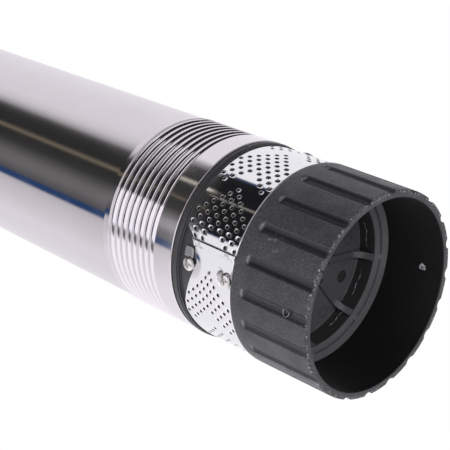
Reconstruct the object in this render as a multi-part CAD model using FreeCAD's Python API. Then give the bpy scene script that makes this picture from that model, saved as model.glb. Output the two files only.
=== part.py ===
import FreeCAD, Part
import math
import os

# Submersible well pump, upright on the rim of its foot bell, discharge end up.
# Millimetres, +Z along the pump's axis, origin at the centre of the bell's rim.

# Shell: rolled tube with a plain band and rings at its lower end
shell_radius = 49.0
shell_length = 387.3
shell_wall = 1.0
band_swell = 0.5
band_length = 12.4
ring_count = 8
ring_pitch = 4.1
ring_depth = 0.55
flare_length = 3.0
tube_radius = shell_radius - band_swell
shell_bore = tube_radius - shell_wall

# Foot bell
foot_height = 44.6
foot_step = 0.2
mouth_taper = 0.5
heel_round = 1.2
bell_wall = 3.4
cup_taper = 0.4
cup_over_heel = 1.4
web_thickness = 2.5
web_reach = 14.5
flute_count = 20
flute_phase = 9.0
flute_radius = 3.25
flute_depth = 1.3
flute_margin = 8.4
drain_radius = 1.7
drain_height = 11.5
drain_azimuths = (63.0, 243.0)
heel_radius = shell_radius - foot_step
mouth_radius = heel_radius - mouth_taper
mouth_bore = mouth_radius - bell_wall
cup_bore = mouth_bore - cup_taper
cup_depth = foot_height + cup_over_heel
web_bore = cup_bore - web_reach
flute_length = foot_height - flute_margin

# Intake end plate, recessed in the bell
plate_thickness = 2.5
plate_ring = 7.6
recess_depth = 9.0
recess_flare = 1.0
plate_wall = 2.2
ring_slope = 0.46
slot_inset = 4.2
slot_width = 0.9
slot_depth = 1.3
plate_rib_count = 8
plate_rib_phase = 20.0
plate_rib_width = 3.2
plate_rib_height = 1.5
plate_rib_start = 14.0
plate_rib_climb = 7.4
plate_rib_landing = 0.3
plate_rib_root = 0.5
roundel_radius = 3.1
roundel_inset = 8.5
roundel_azimuth = 87.0
roundel_depth = 0.5
recess_floor_radius = cup_bore - plate_ring
recess_mouth_radius = recess_floor_radius + recess_flare
slot_radius = cup_bore - slot_inset
plate_rib_bend = recess_floor_radius - plate_rib_climb

# Strainer sheet and its screws
strainer_height = 33.1
sheet = 0.7
strainer_inset = 1.0
hole_radius = 0.8
hole_rows = 5.7
column_angle = 3.5
patch_kept = (1, 2, 3, 4, 5, 6, 5, 6, 4, 4, 2)
patch_whole = (1, 2, 3, 4, 5, 6, 5, 6, 5, 6, 5)
patch_period = 38.5
patch_count = 9
patch_start = 87.0
patches_before_seam = 5
seam_gap = 9.0
screw_azimuths = (-114.5, 5.5, 125.5)
screw_inset = 6.3
lower_screw_inset = 3.4
screw_head_radius = 3.3
screw_head_height = 1.8
screw_edge_height = 0.5
screw_shank_radius = 1.9
screw_length = 5.0
strainer_radius = shell_radius - strainer_inset

# Suction casing: flange, two spigots, plate with the first eye, four legs
flange_height = 4.8
flange_step = 1.2
spigot_wall = 2.1
lower_spigot = 9.9
foot_spigot = 7.0
upper_spigot = 11.0
suction_plate = 2.4
suction_rise = 1.3
suction_groove_rise = 3.0
leg_radius = 3.5
leg_count = 4
leg_phase = 38.0
leg_inset = 9.5

# Pump stages
stage_count = 3
stage_pitch = 26.0
stage_gap = 2.5
stage_wall = 1.9
stage_plate = 2.4
plate_rise = 14.0
diffuser_gap = 8.5
guide_vanes = 6
guide_vane_thickness = 2.0
guide_vane_sweep = -55.0
guide_vane_inset = 6.0
impeller_gap = 1.5
impeller_vanes = 6
vane_sweep = 62.0
eye_share = 0.486
shroud = 1.8
vane_height = 6.0
vane_thickness = 1.8
hub_radius = 10.0
hub_below = 0.5
hub_above = 1.0
skirt_wall = 2.0
skirt_length = 3.6
impeller_lift = 1.6
neck_ring_wall = 2.2
stage_radius = shell_bore - stage_gap
diffuser_gap_radius = stage_radius - diffuser_gap
impeller_radius = diffuser_gap_radius - impeller_gap
eye_radius = eye_share * impeller_radius
guide_vane_start = eye_radius + guide_vane_inset

# Shaft line
shaft_radius = 7.0
shaft_tail = 10.0
shaft_over_bush = 4.0
shaft_chamfer = 1.0
rotor_shaft_radius = 9.0
rotor_seat_over = 4.0
nut_across_flats = 18.0
nut_height = 7.0
washer_thickness = 2.0
washer_radius = 9.5
key_width = 3.0

# Seal housing, mechanical seal and bearings
housing_flange = 6.0
port_count = 8
port_angle = 30.0
port_step = 3.0
port_undercut = 4.0
housing_neck = 4.0
housing_groove_rise = 4.0
housing_shoulder = 2.5
chamber_radius = 18.0
chamber_height = 22.0
housing_wall = 4.0
seat_rise = 3.0
seat_radius = 13.0
seat_height = 6.0
seat_shoulder = 5.0
seal_nose = 2.0
seal_nose_height = 1.2
seal_ring_height = 6.0
seal_spring_height = 9.0
seal_spring_wire = 1.4
seal_spring_turns = 3
seal_collar_height = 3.0
bush_radius = 11.0
bush_length = 20.0
hub_wall = 5.0
thrust_radius = 15.0
thrust_height = 2.2
collar_height = 3.5

# Motor
can_gap = 6.0
can_wall = 1.5
rim_wall = 1.65
stator_base = 62.0
stator_slots = 12
slot_radial = 9.0
slot_tangential = 6.0
air_gap = 0.5
rotor_overhang = 2.0
end_ring_height = 8.0
end_ring_bore = 14.0
end_ring_step = 0.6
winding_height = 18.0
winding_section = 12.0
winding_inset = 5.0
winding_chamfer = 3.0
winding_to_rotor = 2.9
bar_overhang = 6.0
bracket_rise = 24.0
bracket_plate = 4.0
bracket_rim = 12.0
wire_hole_radius = 4.0
wire_hole_count = 6
tray_rise = 12.0
tray_plate = 2.0
capacitor_radius = 17.5
capacitor_height = 46.0
capacitor_inset = 6.65
terminal_height = 3.0
terminal_radius = 2.0
terminal_spread = 5.0
clamp_wall = 2.0
clamp_height = 10.0
protector_size = (12.0, 9.0, 20.0)
protector_round = 2.0
protector_inset = 15.8
cover_rise = 50.0
cover_spigot = 7.0
cover_groove_rise = 2.0
cover_thickness = 8.0
cover_chamfer = 2.0
inlet_radius = 5.0
inlet_flange = 2.5
inlet_height = 6.0
inlet_inset = 17.5
can_radius = shell_bore - can_gap
winding_outer = can_radius - winding_inset
winding_inner = winding_outer - winding_section
rotor_radius = winding_inner - winding_to_rotor

# Discharge head, its rope eyes and the cable gland
head_flange = 8.0
head_chamfer = 1.5
head_spigot = 8.0
head_groove_rise = 2.5
head_wall = 5.0
cone_height = 24.0
cone_foot = 4.0
neck_radius = 24.0
neck_height = 34.0
neck_round = 3.0
thread_radius = 16.6
thread_depth = 20.0
valve_bore = 15.2
valve_bore_depth = 22.0
throat_radius = 12.5
throat_depth = 6.0
eye_plate = 7.0
eye_hole_radius = 5.5
eye_inset = 10.5
eye_over_neck = 1.0
eye_outer_radius = 9.5
gland_azimuth = 90.0
gland_inset = 13.0
gland_boss_radius = 9.0
gland_boss_height = 16.0
gland_thread_radius = 6.0
gland_stem = 11.0
gland_collar = 5.0
gland_hex = 17.0
gland_nut_hex = 20.0
gland_nut_height = 7.0
gland_dome_height = 9.0
gland_dome_inset = 1.0
gland_wall = 0.8
spot_face_radius = 11.9
cable_radius = 3.5
post_count = 4
post_radius = 4.0
post_inset = 13.0
post_room = 21.0
clamp_ring_height = 6.0
clamp_ring_width = 12.2
clamp_phase = 45.0
eye_reach = shell_radius - eye_inset
gland_reach = shell_radius - gland_inset
post_reach = shell_radius - post_inset

# Check valve
valve_seat_height = 4.0
valve_seat_bore = 9.5
seat_chamfer = 1.0
poppet_radius = 11.5
poppet_thickness = 3.0
poppet_stem = 2.5
stem_over_guide = 0.6
valve_lift = 6.0
valve_spring_solid = 4.0
valve_spring_radius = 6.0
valve_spring_wire = 1.2
valve_spring_turns = 3
guide_height = 4.0
guide_rim = 2.0
guide_arms = 3
guide_arm_width = 2.5

# Fits
slide_fit = 0.2
seat_fit = 0.1
running_fit = 0.05
face_gap = 0.05
neck_fit = 0.3
key_play = 1.0
ring_section = 2.6

# Levels along the axis that several pieces share
strainer_base = foot_height + seat_fit
strainer_top = strainer_base + strainer_height
flange_base = strainer_top + seat_fit
shell_base = flange_base + flange_height
shell_top = shell_base + shell_length
web_top = cup_depth + web_thickness
suction_top = shell_base + suction_rise
stack_top = suction_top + stage_count * stage_pitch
seat_base = stack_top + seat_rise
seal_base = seat_base + seat_height + face_gap
chamber_base = seat_base + seat_shoulder
chamber_top = chamber_base + chamber_height
can_base = stack_top + housing_flange + housing_neck
bush_base = chamber_top + 5 * seat_fit
bush_top = bush_base + bush_length
cover_top = shell_top - post_room
can_top = cover_top - cover_thickness
cover_base = can_top - cover_spigot
tray_top = cover_base - cover_rise
bracket_top = tray_top - tray_plate - tray_rise
bracket_base = bracket_top - bracket_rim
stator_low = can_base + stator_base
stator_high = bracket_base - bracket_rise
cone_base = shell_top + head_flange
neck_base = cone_base + cone_height
head_top = neck_base + neck_height
thread_base = head_top - thread_depth
valve_base = thread_base - valve_bore_depth
guide_base = valve_base + valve_seat_height + poppet_thickness + valve_lift + valve_spring_solid
spigot_radius = shell_bore - slide_fit
sheet_bore = strainer_radius - sheet
collar_radius = sheet_bore - seat_fit
skirt_radius = eye_radius + skirt_wall
neck_ring_bore = skirt_radius + neck_fit
neck_ring_radius = neck_ring_bore + neck_ring_wall
can_bore = can_radius - can_wall
can_fit_radius = can_bore - slide_fit
can_rim_bore = can_fit_radius - rim_wall
bore_radius = shaft_radius + running_fit
capacitor_offset = capacitor_radius + capacitor_inset - can_rim_bore
protector_offset = can_fit_radius - protector_inset

up = FreeCAD.Vector(0, 0, 1)
centre = FreeCAD.Vector(0, 0, 0)


def point(radius, azimuth, z=0.0):
    a = math.radians(azimuth)
    return FreeCAD.Vector(radius * math.cos(a), radius * math.sin(a), z)


def turned(profile):
    """Solid of revolution. A profile step is (r, z), or (r, z, r, z): an arc by its middle and its end."""
    edges = []
    here = FreeCAD.Vector(profile[0][0], 0, profile[0][1])
    first = here
    for step in profile[1:]:
        there = FreeCAD.Vector(step[-2], 0, step[-1])
        if len(step) == 4:
            edges.append(Part.Arc(here, FreeCAD.Vector(step[0], 0, step[1]), there).toShape())
        else:
            edges.append(Part.LineSegment(here, there).toShape())
        here = there
    edges.append(Part.LineSegment(here, first).toShape())
    return Part.Face(Part.Wire(edges)).revolve(centre, up, 360)


def ring(inner, outer, low, high):
    return turned([(inner, low), (outer, low), (outer, high), (inner, high)])


def disc(radius, low, high, place=(0.0, 0.0)):
    return Part.makeCylinder(radius, high - low, FreeCAD.Vector(place[0], place[1], low))


def around(shape, count, phase=0.0):
    """Copies of a shape, evenly round the axis."""
    copies = []
    for k in range(count):
        copy = shape.copy()
        copy.rotate(centre, up, phase + 360.0 * k / count)
        copies.append(copy)
    return copies


def hexagon(across, low, high, bore, place=(0.0, 0.0)):
    corners = [point(across / math.sqrt(3.0), 60.0 * k, low) for k in range(7)]
    body = Part.Face(Part.makePolygon(corners)).extrude(FreeCAD.Vector(0, 0, high - low))
    body.translate(FreeCAD.Vector(place[0], place[1], 0))
    return body.cut(disc(bore, low - 1, high + 1, place))


def radial_plate(profile, thickness):
    """Web in the XZ plane from (r, z) corners, centred on the plane."""
    corners = [FreeCAD.Vector(r, -thickness / 2, z) for r, z in profile]
    return Part.Face(Part.makePolygon(corners + corners[:1])).extrude(FreeCAD.Vector(0, thickness, 0))


def curved_vane(start, end, sweep, thickness, low, high):
    """Blade standing on Z. Each side is an arc whose three points turn back by the sweep on their way out."""
    middle = (start + end) / 2
    half = thickness / 2
    early_turn = 0.38
    sides = []
    for offset in (-half, half):
        knots = []
        for radius, lean in ((start, 0.0), (middle, early_turn * sweep), (end, sweep)):
            knots.append(point(radius, lean + math.degrees(offset / radius), low))
        sides.append(knots)
    near, far = sides
    edges = [
        Part.Arc(near[0], near[1], near[2]).toShape(),
        Part.LineSegment(near[2], far[2]).toShape(),
        Part.Arc(far[2], far[1], far[0]).toShape(),
        Part.LineSegment(far[0], near[0]).toShape(),
    ]
    return Part.Face(Part.Wire(edges)).extrude(FreeCAD.Vector(0, 0, high - low))


def coil(radius, wire, low, high, turns):
    """Spring of square wire."""
    pitch = (high - low - wire) / turns
    path = Part.makeHelix(pitch, pitch * turns, radius)
    half = wire / 2
    corners = [FreeCAD.Vector(radius + x, 0, z) for x, z in
               ((-half, -half), (half, -half), (half, half), (-half, half), (-half, -half))]
    spring = Part.Wire(path.Edges).makePipeShell([Part.makePolygon(corners)], True, True)
    spring.translate(FreeCAD.Vector(0, 0, low + half))
    return spring


def keyed(shape, low, high):
    """Cuts the keyway that the shaft's key runs in."""
    width = key_width + seat_fit
    slot = Part.makeBox(shaft_radius + key_width / 2, width, high - low,
                        FreeCAD.Vector(0, -width / 2, low))
    return shape.cut(slot)


def grooved(outer, lip):
    """Outline steps of a seal groove in a wall of radius outer, from its lower lip up."""
    depth = outer - ring_section / 2
    return [(outer, lip), (depth, lip), (depth, lip + ring_section), (outer, lip + ring_section)]


def seal_ring_in_groove(outer, bore, lip):
    """Rubber ring of square section, clear of its groove by the seat fit all round."""
    inner = outer - ring_section / 2 + seat_fit
    return ring(inner, bore - seat_fit, lip + seat_fit, lip + ring_section - seat_fit)


# Shell, flange and strainer

def outer_shell():
    rings_base = shell_base + band_length
    rings_top = rings_base + ring_count * ring_pitch
    valley = shell_radius - ring_depth
    chamfer = 0.4
    profile = [
        (shell_bore, shell_base),
        (shell_radius - chamfer, shell_base),
        (shell_radius, shell_base + chamfer),
        (shell_radius, rings_base - chamfer),
        (valley, rings_base),
    ]
    for k in range(ring_count):
        z = rings_base + k * ring_pitch
        profile.append((shell_radius, z + ring_pitch / 2, valley, z + ring_pitch))
    profile += [(shell_radius, rings_top + chamfer), (tube_radius, rings_top + flare_length)]
    profile += [(tube_radius, shell_top), (shell_bore, shell_top)]
    return turned(profile)


def suction_casing():
    inner = spigot_radius - spigot_wall
    lower_inner = collar_radius - spigot_wall
    eye_seat = neck_ring_radius + seat_fit
    profile = [
        (lower_inner, flange_base - lower_spigot),
        (collar_radius, flange_base - lower_spigot),
        (collar_radius, flange_base),
        (shell_radius - flange_step, flange_base),
        (shell_radius - flange_step, flange_base + flange_step),
        (shell_radius, flange_base + 2 * flange_step),
        (shell_radius, shell_base),
        (spigot_radius, shell_base),
    ]
    profile += grooved(spigot_radius, shell_base + suction_groove_rise)
    profile += [
        (spigot_radius, shell_base + upper_spigot),
        (inner, shell_base + upper_spigot),
        (inner, suction_top),
        (eye_seat, suction_top),
        (eye_seat, suction_top - suction_plate),
        (lower_inner, suction_top - suction_plate),
    ]
    root = 0.5
    leg = disc(leg_radius, web_top, suction_top - suction_plate + root, (web_bore + leg_inset, 0.0))
    body = turned(profile).fuse(around(leg, leg_count, leg_phase)).removeSplitter()
    return body.cut(screw_holes(strainer_top - screw_inset))


def suction_seal_ring():
    return seal_ring_in_groove(spigot_radius, shell_bore, shell_base + suction_groove_rise)


def hole_cutter(azimuth, z):
    """Six-sided punch, along the radius."""
    corners = []
    for k in range(7):
        a = math.radians(60.0 * k)
        across = hole_radius * math.cos(a)
        corners.append(FreeCAD.Vector(sheet_bore - 1, across, z + hole_radius * math.sin(a)))
    punch = Part.Face(Part.makePolygon(corners)).extrude(FreeCAD.Vector(sheet + 2, 0, 0))
    punch.rotate(centre, up, azimuth)
    return punch


def patch_holes(first_azimuth):
    """Arrow-shaped patch: whole columns hold 1 to 6 holes, the last ones keep only their outer holes."""
    row_step = strainer_height / hole_rows
    middle = (strainer_base + strainer_top) / 2
    punches = []
    for column, (kept, whole) in enumerate(zip(patch_kept, patch_whole)):
        heights = [(row - (whole - 1) / 2) * row_step for row in range(whole)]
        if kept < whole:
            heights = heights[:kept // 2] + heights[-(kept // 2):]
        for height in heights:
            punches.append(hole_cutter(first_azimuth - column * column_angle, middle + height))
    return punches


def screw_holes(z):
    holes = []
    for azimuth in screw_azimuths:
        direction = point(1.0, azimuth)
        base = point(strainer_radius - screw_length - 2, azimuth, z)
        holes.append(Part.makeCylinder(screw_shank_radius + seat_fit, screw_length + 4, base, direction))
    return holes


def strainer():
    body = ring(sheet_bore, strainer_radius, strainer_base, strainer_top)
    punches = []
    for k in range(patch_count):
        gap = seam_gap if k >= patches_before_seam else 0.0
        punches += patch_holes(patch_start - k * patch_period - gap)
    punches += screw_holes(strainer_top - screw_inset)
    punches += screw_holes(strainer_base + lower_screw_inset)
    return body.cut(punches)


def strainer_screws():
    """Pan heads on the sheet, shanks in the two collars."""
    base = strainer_radius + seat_fit / 2
    top = base + screw_head_height
    screw = turned([
        (0, base - screw_length),
        (screw_shank_radius, base - screw_length),
        (screw_shank_radius, base),
        (screw_head_radius, base),
        (screw_head_radius, base + screw_edge_height),
        (0.75 * screw_head_radius, top - 0.3 * screw_head_height),
        (0.4 * screw_head_radius, top),
        (0, top),
    ])
    screw.rotate(centre, FreeCAD.Vector(0, 1, 0), 90)
    screws = []
    for azimuth in screw_azimuths:
        for z in (strainer_top - screw_inset, strainer_base + lower_screw_inset):
            copy = screw.copy()
            copy.rotate(centre, up, azimuth)
            copy.translate(FreeCAD.Vector(0, 0, z))
            screws.append(copy)
    return Part.makeCompound(screws)


# Foot

def foot_bell():
    collar_inner = collar_radius - spigot_wall
    turn = heel_round * (1 - math.sqrt(0.5))
    profile = [
        (mouth_bore, 0),
        (mouth_radius, 0),
        (heel_radius, foot_height - heel_round),
        (heel_radius - turn, foot_height - turn, heel_radius - heel_round, foot_height),
        (collar_radius, foot_height),
        (collar_radius, foot_height + foot_spigot),
        (collar_inner, foot_height + foot_spigot),
        (collar_inner, web_top),
        (web_bore, web_top),
        (web_bore, cup_depth),
        (cup_bore, cup_depth),
    ]
    reach = mouth_radius + (heel_radius - mouth_radius) / 2 - flute_depth + flute_radius
    flute = disc(flute_radius, -1, flute_length, (reach, 0.0))
    flute = flute.fuse(Part.makeSphere(flute_radius, FreeCAD.Vector(reach, 0, flute_length)))
    body = turned(profile).cut(around(flute, flute_count, flute_phase))
    for azimuth in drain_azimuths:
        base = point(mouth_bore - 4, azimuth, drain_height)
        body = body.cut(Part.makeCylinder(drain_radius, 10, base, point(1.0, azimuth)))
    return body.cut(screw_holes(strainer_base + lower_screw_inset))


def intake_end_plate():
    """Dished disc with a conical ring, a slot in the ring and ribs that climb the recess wall."""
    floor = cup_depth - plate_thickness
    lip = floor - recess_depth
    rim = cup_bore - seat_fit

    def face(radius):
        return lip - ring_slope * (radius - recess_mouth_radius)

    slot_end = slot_radius + slot_width
    back = recess_mouth_radius + plate_wall
    profile = [
        (0, floor),
        (recess_floor_radius, floor),
        (recess_mouth_radius, lip),
        (slot_radius, face(slot_radius)),
        (slot_radius, face(slot_radius) + slot_depth),
        (slot_end, face(slot_end) + slot_depth),
        (slot_end, face(slot_end)),
        (rim, face(rim)),
        (rim, face(rim) + plate_wall),
        (back, face(back) + 1.3 * plate_wall),
        (recess_floor_radius + plate_wall, cup_depth),
        (0, cup_depth),
    ]
    top = floor - plate_rib_height
    reach = 0.8 * (recess_mouth_radius - plate_rib_bend)
    climb = []
    for k in range(5):
        a = math.radians(90.0 * k / 4)
        climb.append((plate_rib_bend + reach * math.sin(a), top - (top - lip) * (1 - math.cos(a))))
    landing = slot_end + plate_rib_landing
    rib = [(plate_rib_start, floor + plate_rib_root), (plate_rib_start, top)] + climb
    rib += [(landing, face(slot_end)), (landing, lip + plate_rib_height)]
    rib += [(recess_mouth_radius, floor + plate_rib_root)]
    body = turned(profile).fuse(around(radial_plate(rib, plate_rib_width), plate_rib_count, plate_rib_phase))
    mark = point(recess_floor_radius - roundel_inset, roundel_azimuth)
    return body.removeSplitter().cut(disc(roundel_radius, floor - 1, floor + roundel_depth, (mark.x, mark.y)))


# Pump stages

def stage_base(stage):
    return suction_top + stage * stage_pitch


def neck_ring(stage):
    low = stage_base(stage) - (suction_plate if stage == 0 else stage_plate)
    return ring(neck_ring_bore, neck_ring_radius, low, stage_base(stage))


def diffuser(stage):
    """Stage bowl: wall, mid plate and guide vanes; all but the last also carry the next stage's eye."""
    low = stage_base(stage)
    high = low + stage_pitch
    wall_bore = stage_radius - stage_wall
    plate_low = low + plate_rise
    vane_low = plate_low + stage_plate
    last = stage == stage_count - 1
    vane_high = high if last else high - stage_plate
    body = ring(wall_bore, stage_radius, low, high)
    root = 0.5
    plate = ring(hub_radius + 2 * neck_fit, diffuser_gap_radius, plate_low, vane_low)
    blade = curved_vane(guide_vane_start, wall_bore + root, guide_vane_sweep, guide_vane_thickness,
                        vane_low - root, vane_high)
    parts = [plate] + around(blade, guide_vanes)
    if not last:
        parts.append(ring(neck_ring_radius + seat_fit, wall_bore + root, high - stage_plate, high))
    return body.fuse(parts).removeSplitter()


def impeller(stage):
    """Closed impeller with backswept vanes between its two shrouds."""
    low = stage_base(stage) + impeller_lift
    lower = low + shroud
    upper = lower + vane_height
    root = 0.4
    hub_low, hub_high = hub_levels(stage)
    skirt = ring(eye_radius, skirt_radius, low - skirt_length, lower)
    front = ring(eye_radius, impeller_radius, low, lower)
    back = ring(bore_radius, impeller_radius, upper, upper + shroud)
    hub = ring(bore_radius, hub_radius, hub_low, hub_high)
    blade = curved_vane(eye_radius + root, impeller_radius - root / 2, vane_sweep, vane_thickness,
                        lower - root, upper + root)
    body = skirt.fuse([front, back, hub] + around(blade, impeller_vanes)).removeSplitter()
    return keyed(body, hub_low - 1, hub_high + 1)


def hub_levels(stage):
    low = stage_base(stage) + impeller_lift
    return low - hub_below, low + 2 * shroud + vane_height + hub_above


def impeller_spacers():
    """Sleeves between the hubs, and one more up to the seal housing's floor."""
    sleeves = []
    for stage in range(stage_count):
        low = hub_levels(stage)[1]
        high = hub_levels(stage + 1)[0] if stage < stage_count - 1 else stack_top - 2 * neck_fit
        sleeves.append(keyed(ring(bore_radius, hub_radius, low, high), low - 1, high + 1))
    return Part.makeCompound(sleeves)


def impeller_washer():
    top = hub_levels(0)[0]
    return ring(bore_radius, washer_radius, top - washer_thickness, top)


def impeller_nut():
    top = hub_levels(0)[0] - washer_thickness
    return hexagon(nut_across_flats, top - nut_height, top, bore_radius)


# Shaft line

def shaft_ends():
    low = hub_levels(0)[0] - shaft_tail
    high = bracket_base + bush_length + shaft_over_bush
    return low, high


def shaft():
    low, high = shaft_ends()
    over = rotor_overhang + end_ring_height + rotor_seat_over
    thick_low = stator_low - over
    thick_high = stator_high + over
    body = turned([
        (0, low),
        (shaft_radius - shaft_chamfer, low),
        (shaft_radius, low + shaft_chamfer),
        (shaft_radius, thick_low),
        (rotor_shaft_radius, thick_low),
        (rotor_shaft_radius, thick_high),
        (shaft_radius, thick_high),
        (shaft_radius, high - shaft_chamfer),
        (shaft_radius - shaft_chamfer, high),
        (0, high),
    ])
    return body.cut(key_bar(key_width / 2, seat_fit))


def key_bar(depth, play):
    """Bar of the key's section, larger all round by the play, let into the shaft by its depth."""
    low = hub_levels(0)[0] + key_play - play
    high = stack_top - 2 * key_play + play
    width = key_width + 2 * play
    corner = FreeCAD.Vector(shaft_radius - depth, -width / 2, low)
    return Part.makeBox(2 * depth + play, width, high - low, corner)


def shaft_key():
    return key_bar(key_width / 2 - seat_fit, -seat_fit / 2)


# Seal housing, mechanical seal, bearings

def housing_groove():
    return can_base + housing_groove_rise


def seal_housing():
    """Cup that closes the motor, with the outlet ports, the chamber of the seal and the lower hub."""
    hub = bush_radius + seat_fit
    shaft_hole = shaft_radius + air_gap
    seat_bore = seat_radius + seat_fit
    outer_chamber = chamber_radius + housing_wall
    shoulder = can_rim_bore - housing_shoulder
    web_low = can_base + housing_neck / 2
    profile = [
        (shaft_hole, stack_top),
        (spigot_radius, stack_top),
        (spigot_radius, stack_top + housing_flange),
        (can_radius, stack_top + housing_flange),
        (can_radius, can_base),
        (can_fit_radius, can_base),
    ]
    profile += grooved(can_fit_radius, housing_groove())
    profile += [
        (can_fit_radius, stator_low),
        (can_rim_bore, stator_low),
        (shoulder, housing_groove() + 3 * ring_section),
        (shoulder, web_low),
        (outer_chamber, web_low),
        (outer_chamber, chamber_top + housing_wall),
        (hub + hub_wall, chamber_top + housing_wall),
        (hub + hub_wall, bush_top),
        (hub, bush_top),
        (hub, chamber_top),
        (chamber_radius, chamber_top),
        (chamber_radius, chamber_base),
        (seat_bore, chamber_base),
        (seat_bore, seat_base),
        (shaft_hole, seat_base),
    ]
    return turned(profile).cut(around(outlet_port(), port_count))


def outlet_port():
    """Sector cut through the housing's flange, wider inwards on its lower side."""
    outer = stage_radius - stage_wall
    inner = can_radius + seat_fit
    half = port_angle / 2
    reach = 2 * outer
    low = stack_top - 1
    high = stack_top + housing_flange + 1
    corners = [point(0, 0, low), point(reach, -half, low), point(reach, half, low), point(0, 0, low)]
    wedge = Part.Face(Part.makePolygon(corners)).extrude(FreeCAD.Vector(0, 0, high - low))
    lower = ring(inner - port_undercut, outer, low, stack_top + port_step)
    upper = ring(inner, outer, stack_top + port_step - 1, high)
    return lower.fuse(upper).common(wedge)


def housing_seal_ring():
    return seal_ring_in_groove(can_fit_radius, can_bore, housing_groove())


def seal_seat():
    return ring(shaft_radius + air_gap, seat_radius, seat_base, seat_base + seat_height)


def seal_ring():
    """Rotating carbon ring with a narrow nose on the seat."""
    top = seal_base + seal_ring_height
    shoulder = seal_base + seal_nose_height
    nose = seat_radius - seal_nose
    return turned([
        (bore_radius, shoulder),
        (shaft_radius + seal_nose, seal_base),
        (nose, seal_base),
        (nose, shoulder),
        (seat_radius, shoulder),
        (seat_radius, top),
        (bore_radius, top),
    ])


def seal_spring():
    low = seal_base + seal_ring_height + seat_fit
    middle = (shaft_radius + seat_radius) / 2
    return coil(middle, seal_spring_wire, low, low + seal_spring_height - 2 * seat_fit, seal_spring_turns)


def seal_collar():
    low = seal_base + seal_ring_height + seal_spring_height
    return ring(bore_radius, seat_radius - air_gap, low, low + seal_collar_height)


def bearing_bush(low):
    return ring(bore_radius, bush_radius, low, low + bush_length)


def thrust_washer():
    return ring(shaft_radius + air_gap, thrust_radius, bush_top, bush_top + thrust_height)


def thrust_collar():
    low = bush_top + thrust_height + face_gap
    return ring(bore_radius, thrust_radius, low, low + collar_height)


# Motor

def motor_can():
    return ring(can_bore, can_radius, can_base, can_top)


def slot_bars(low, high, clearance):
    """Bars with the section of the stator's slots, smaller all round by the clearance."""
    width = slot_tangential - 2 * clearance
    bar = Part.makeBox(slot_radial - 2 * clearance, width, high - low,
                       FreeCAD.Vector(winding_inner + clearance, -width / 2, low))
    return around(bar, stator_slots)


def stator_core():
    body = ring(rotor_radius + air_gap, can_fit_radius, stator_low, stator_high)
    return body.cut(slot_bars(stator_low - 1, stator_high + 1, 0.0))


def end_turn(low, high):
    """Ring of wound wire with bevelled edges."""
    soft = winding_chamfer
    return turned([
        (winding_inner, low + soft),
        (winding_inner + soft, low),
        (winding_outer - soft, low),
        (winding_outer, low + soft),
        (winding_outer, high - soft),
        (winding_outer - soft, high),
        (winding_inner + soft, high),
        (winding_inner, high - soft),
    ])


def stator_winding():
    """Two end turns joined by the bars in the slots."""
    clear = 2 * slide_fit
    lower = end_turn(stator_low - winding_height, stator_low - clear)
    upper = end_turn(stator_high + clear, stator_high + winding_height)
    bars = slot_bars(stator_low - bar_overhang, stator_high + bar_overhang, slide_fit)
    return lower.fuse([upper] + bars).removeSplitter()


def rotor_core():
    return ring(rotor_shaft_radius + running_fit, rotor_radius, stator_low - rotor_overhang,
                stator_high + rotor_overhang)


def rotor_end_rings():
    low = stator_low - rotor_overhang
    high = stator_high + rotor_overhang
    outer = rotor_radius - end_ring_step
    return Part.makeCompound([
        ring(end_ring_bore, outer, low - end_ring_height, low),
        ring(end_ring_bore, outer, high, high + end_ring_height),
    ])


def upper_bracket():
    """Plate with the upper bearing's hub, on a rim that stands on the stator."""
    hub = bush_radius + seat_fit
    body = turned([
        (can_rim_bore, stator_high),
        (can_fit_radius, stator_high),
        (can_fit_radius, bracket_top),
        (can_rim_bore, bracket_top),
        (can_rim_bore, bracket_base + bracket_plate),
        (hub + hub_wall, bracket_base + bracket_plate),
        (hub + hub_wall, bracket_base + bush_length),
        (hub, bracket_base + bush_length),
        (hub, bracket_base),
        (can_rim_bore, bracket_base),
    ])
    reach = (hub + hub_wall + can_rim_bore) / 2
    wire_hole = disc(wire_hole_radius, bracket_base - 1, bracket_base + bracket_plate + 1, (reach, 0.0))
    return body.cut(around(wire_hole, wire_hole_count))


def capacitor_tray():
    """Cup on the bracket's rim, with the ring that clasps the capacitor."""
    low = tray_top - tray_plate
    body = turned([
        (can_rim_bore, bracket_top),
        (can_fit_radius, bracket_top),
        (can_fit_radius, tray_top),
        (0, tray_top),
        (0, low),
        (can_rim_bore, low),
    ])
    place = (capacitor_offset, 0.0)
    high = tray_top + clamp_height
    clamp = disc(capacitor_radius + clamp_wall, tray_top - tray_plate / 2, high, place)
    clamp = clamp.cut(disc(capacitor_radius + seat_fit, low, high + 1, place))
    beside = (0.0, (capacitor_radius + clamp_wall + can_rim_bore) / 2)
    wire_hole = disc(wire_hole_radius, low - 1, tray_top + 1, beside)
    return body.fuse(clamp).cut(disc(capacitor_radius + seat_fit, tray_top, high, place)).cut(wire_hole)


def start_capacitor():
    shoulder = tray_top + capacitor_height - terminal_height
    body = disc(capacitor_radius, tray_top, shoulder, (capacitor_offset, 0.0))
    studs = []
    for y in (-terminal_spread, terminal_spread):
        studs.append(disc(terminal_radius, shoulder - terminal_radius, shoulder + terminal_height,
                          (capacitor_offset, y)))
    return body.fuse(studs)


def thermal_protector():
    width, depth, height = protector_size
    corner = FreeCAD.Vector(protector_offset - width / 2, -depth / 2, tray_top)
    body = Part.makeBox(width, depth, height, corner)
    upright = [edge for edge in body.Edges if abs(edge.tangentAt(0).z) > 0.9]
    return body.makeFillet(protector_round, upright)


def cover_groove():
    return cover_base + cover_groove_rise


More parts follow.
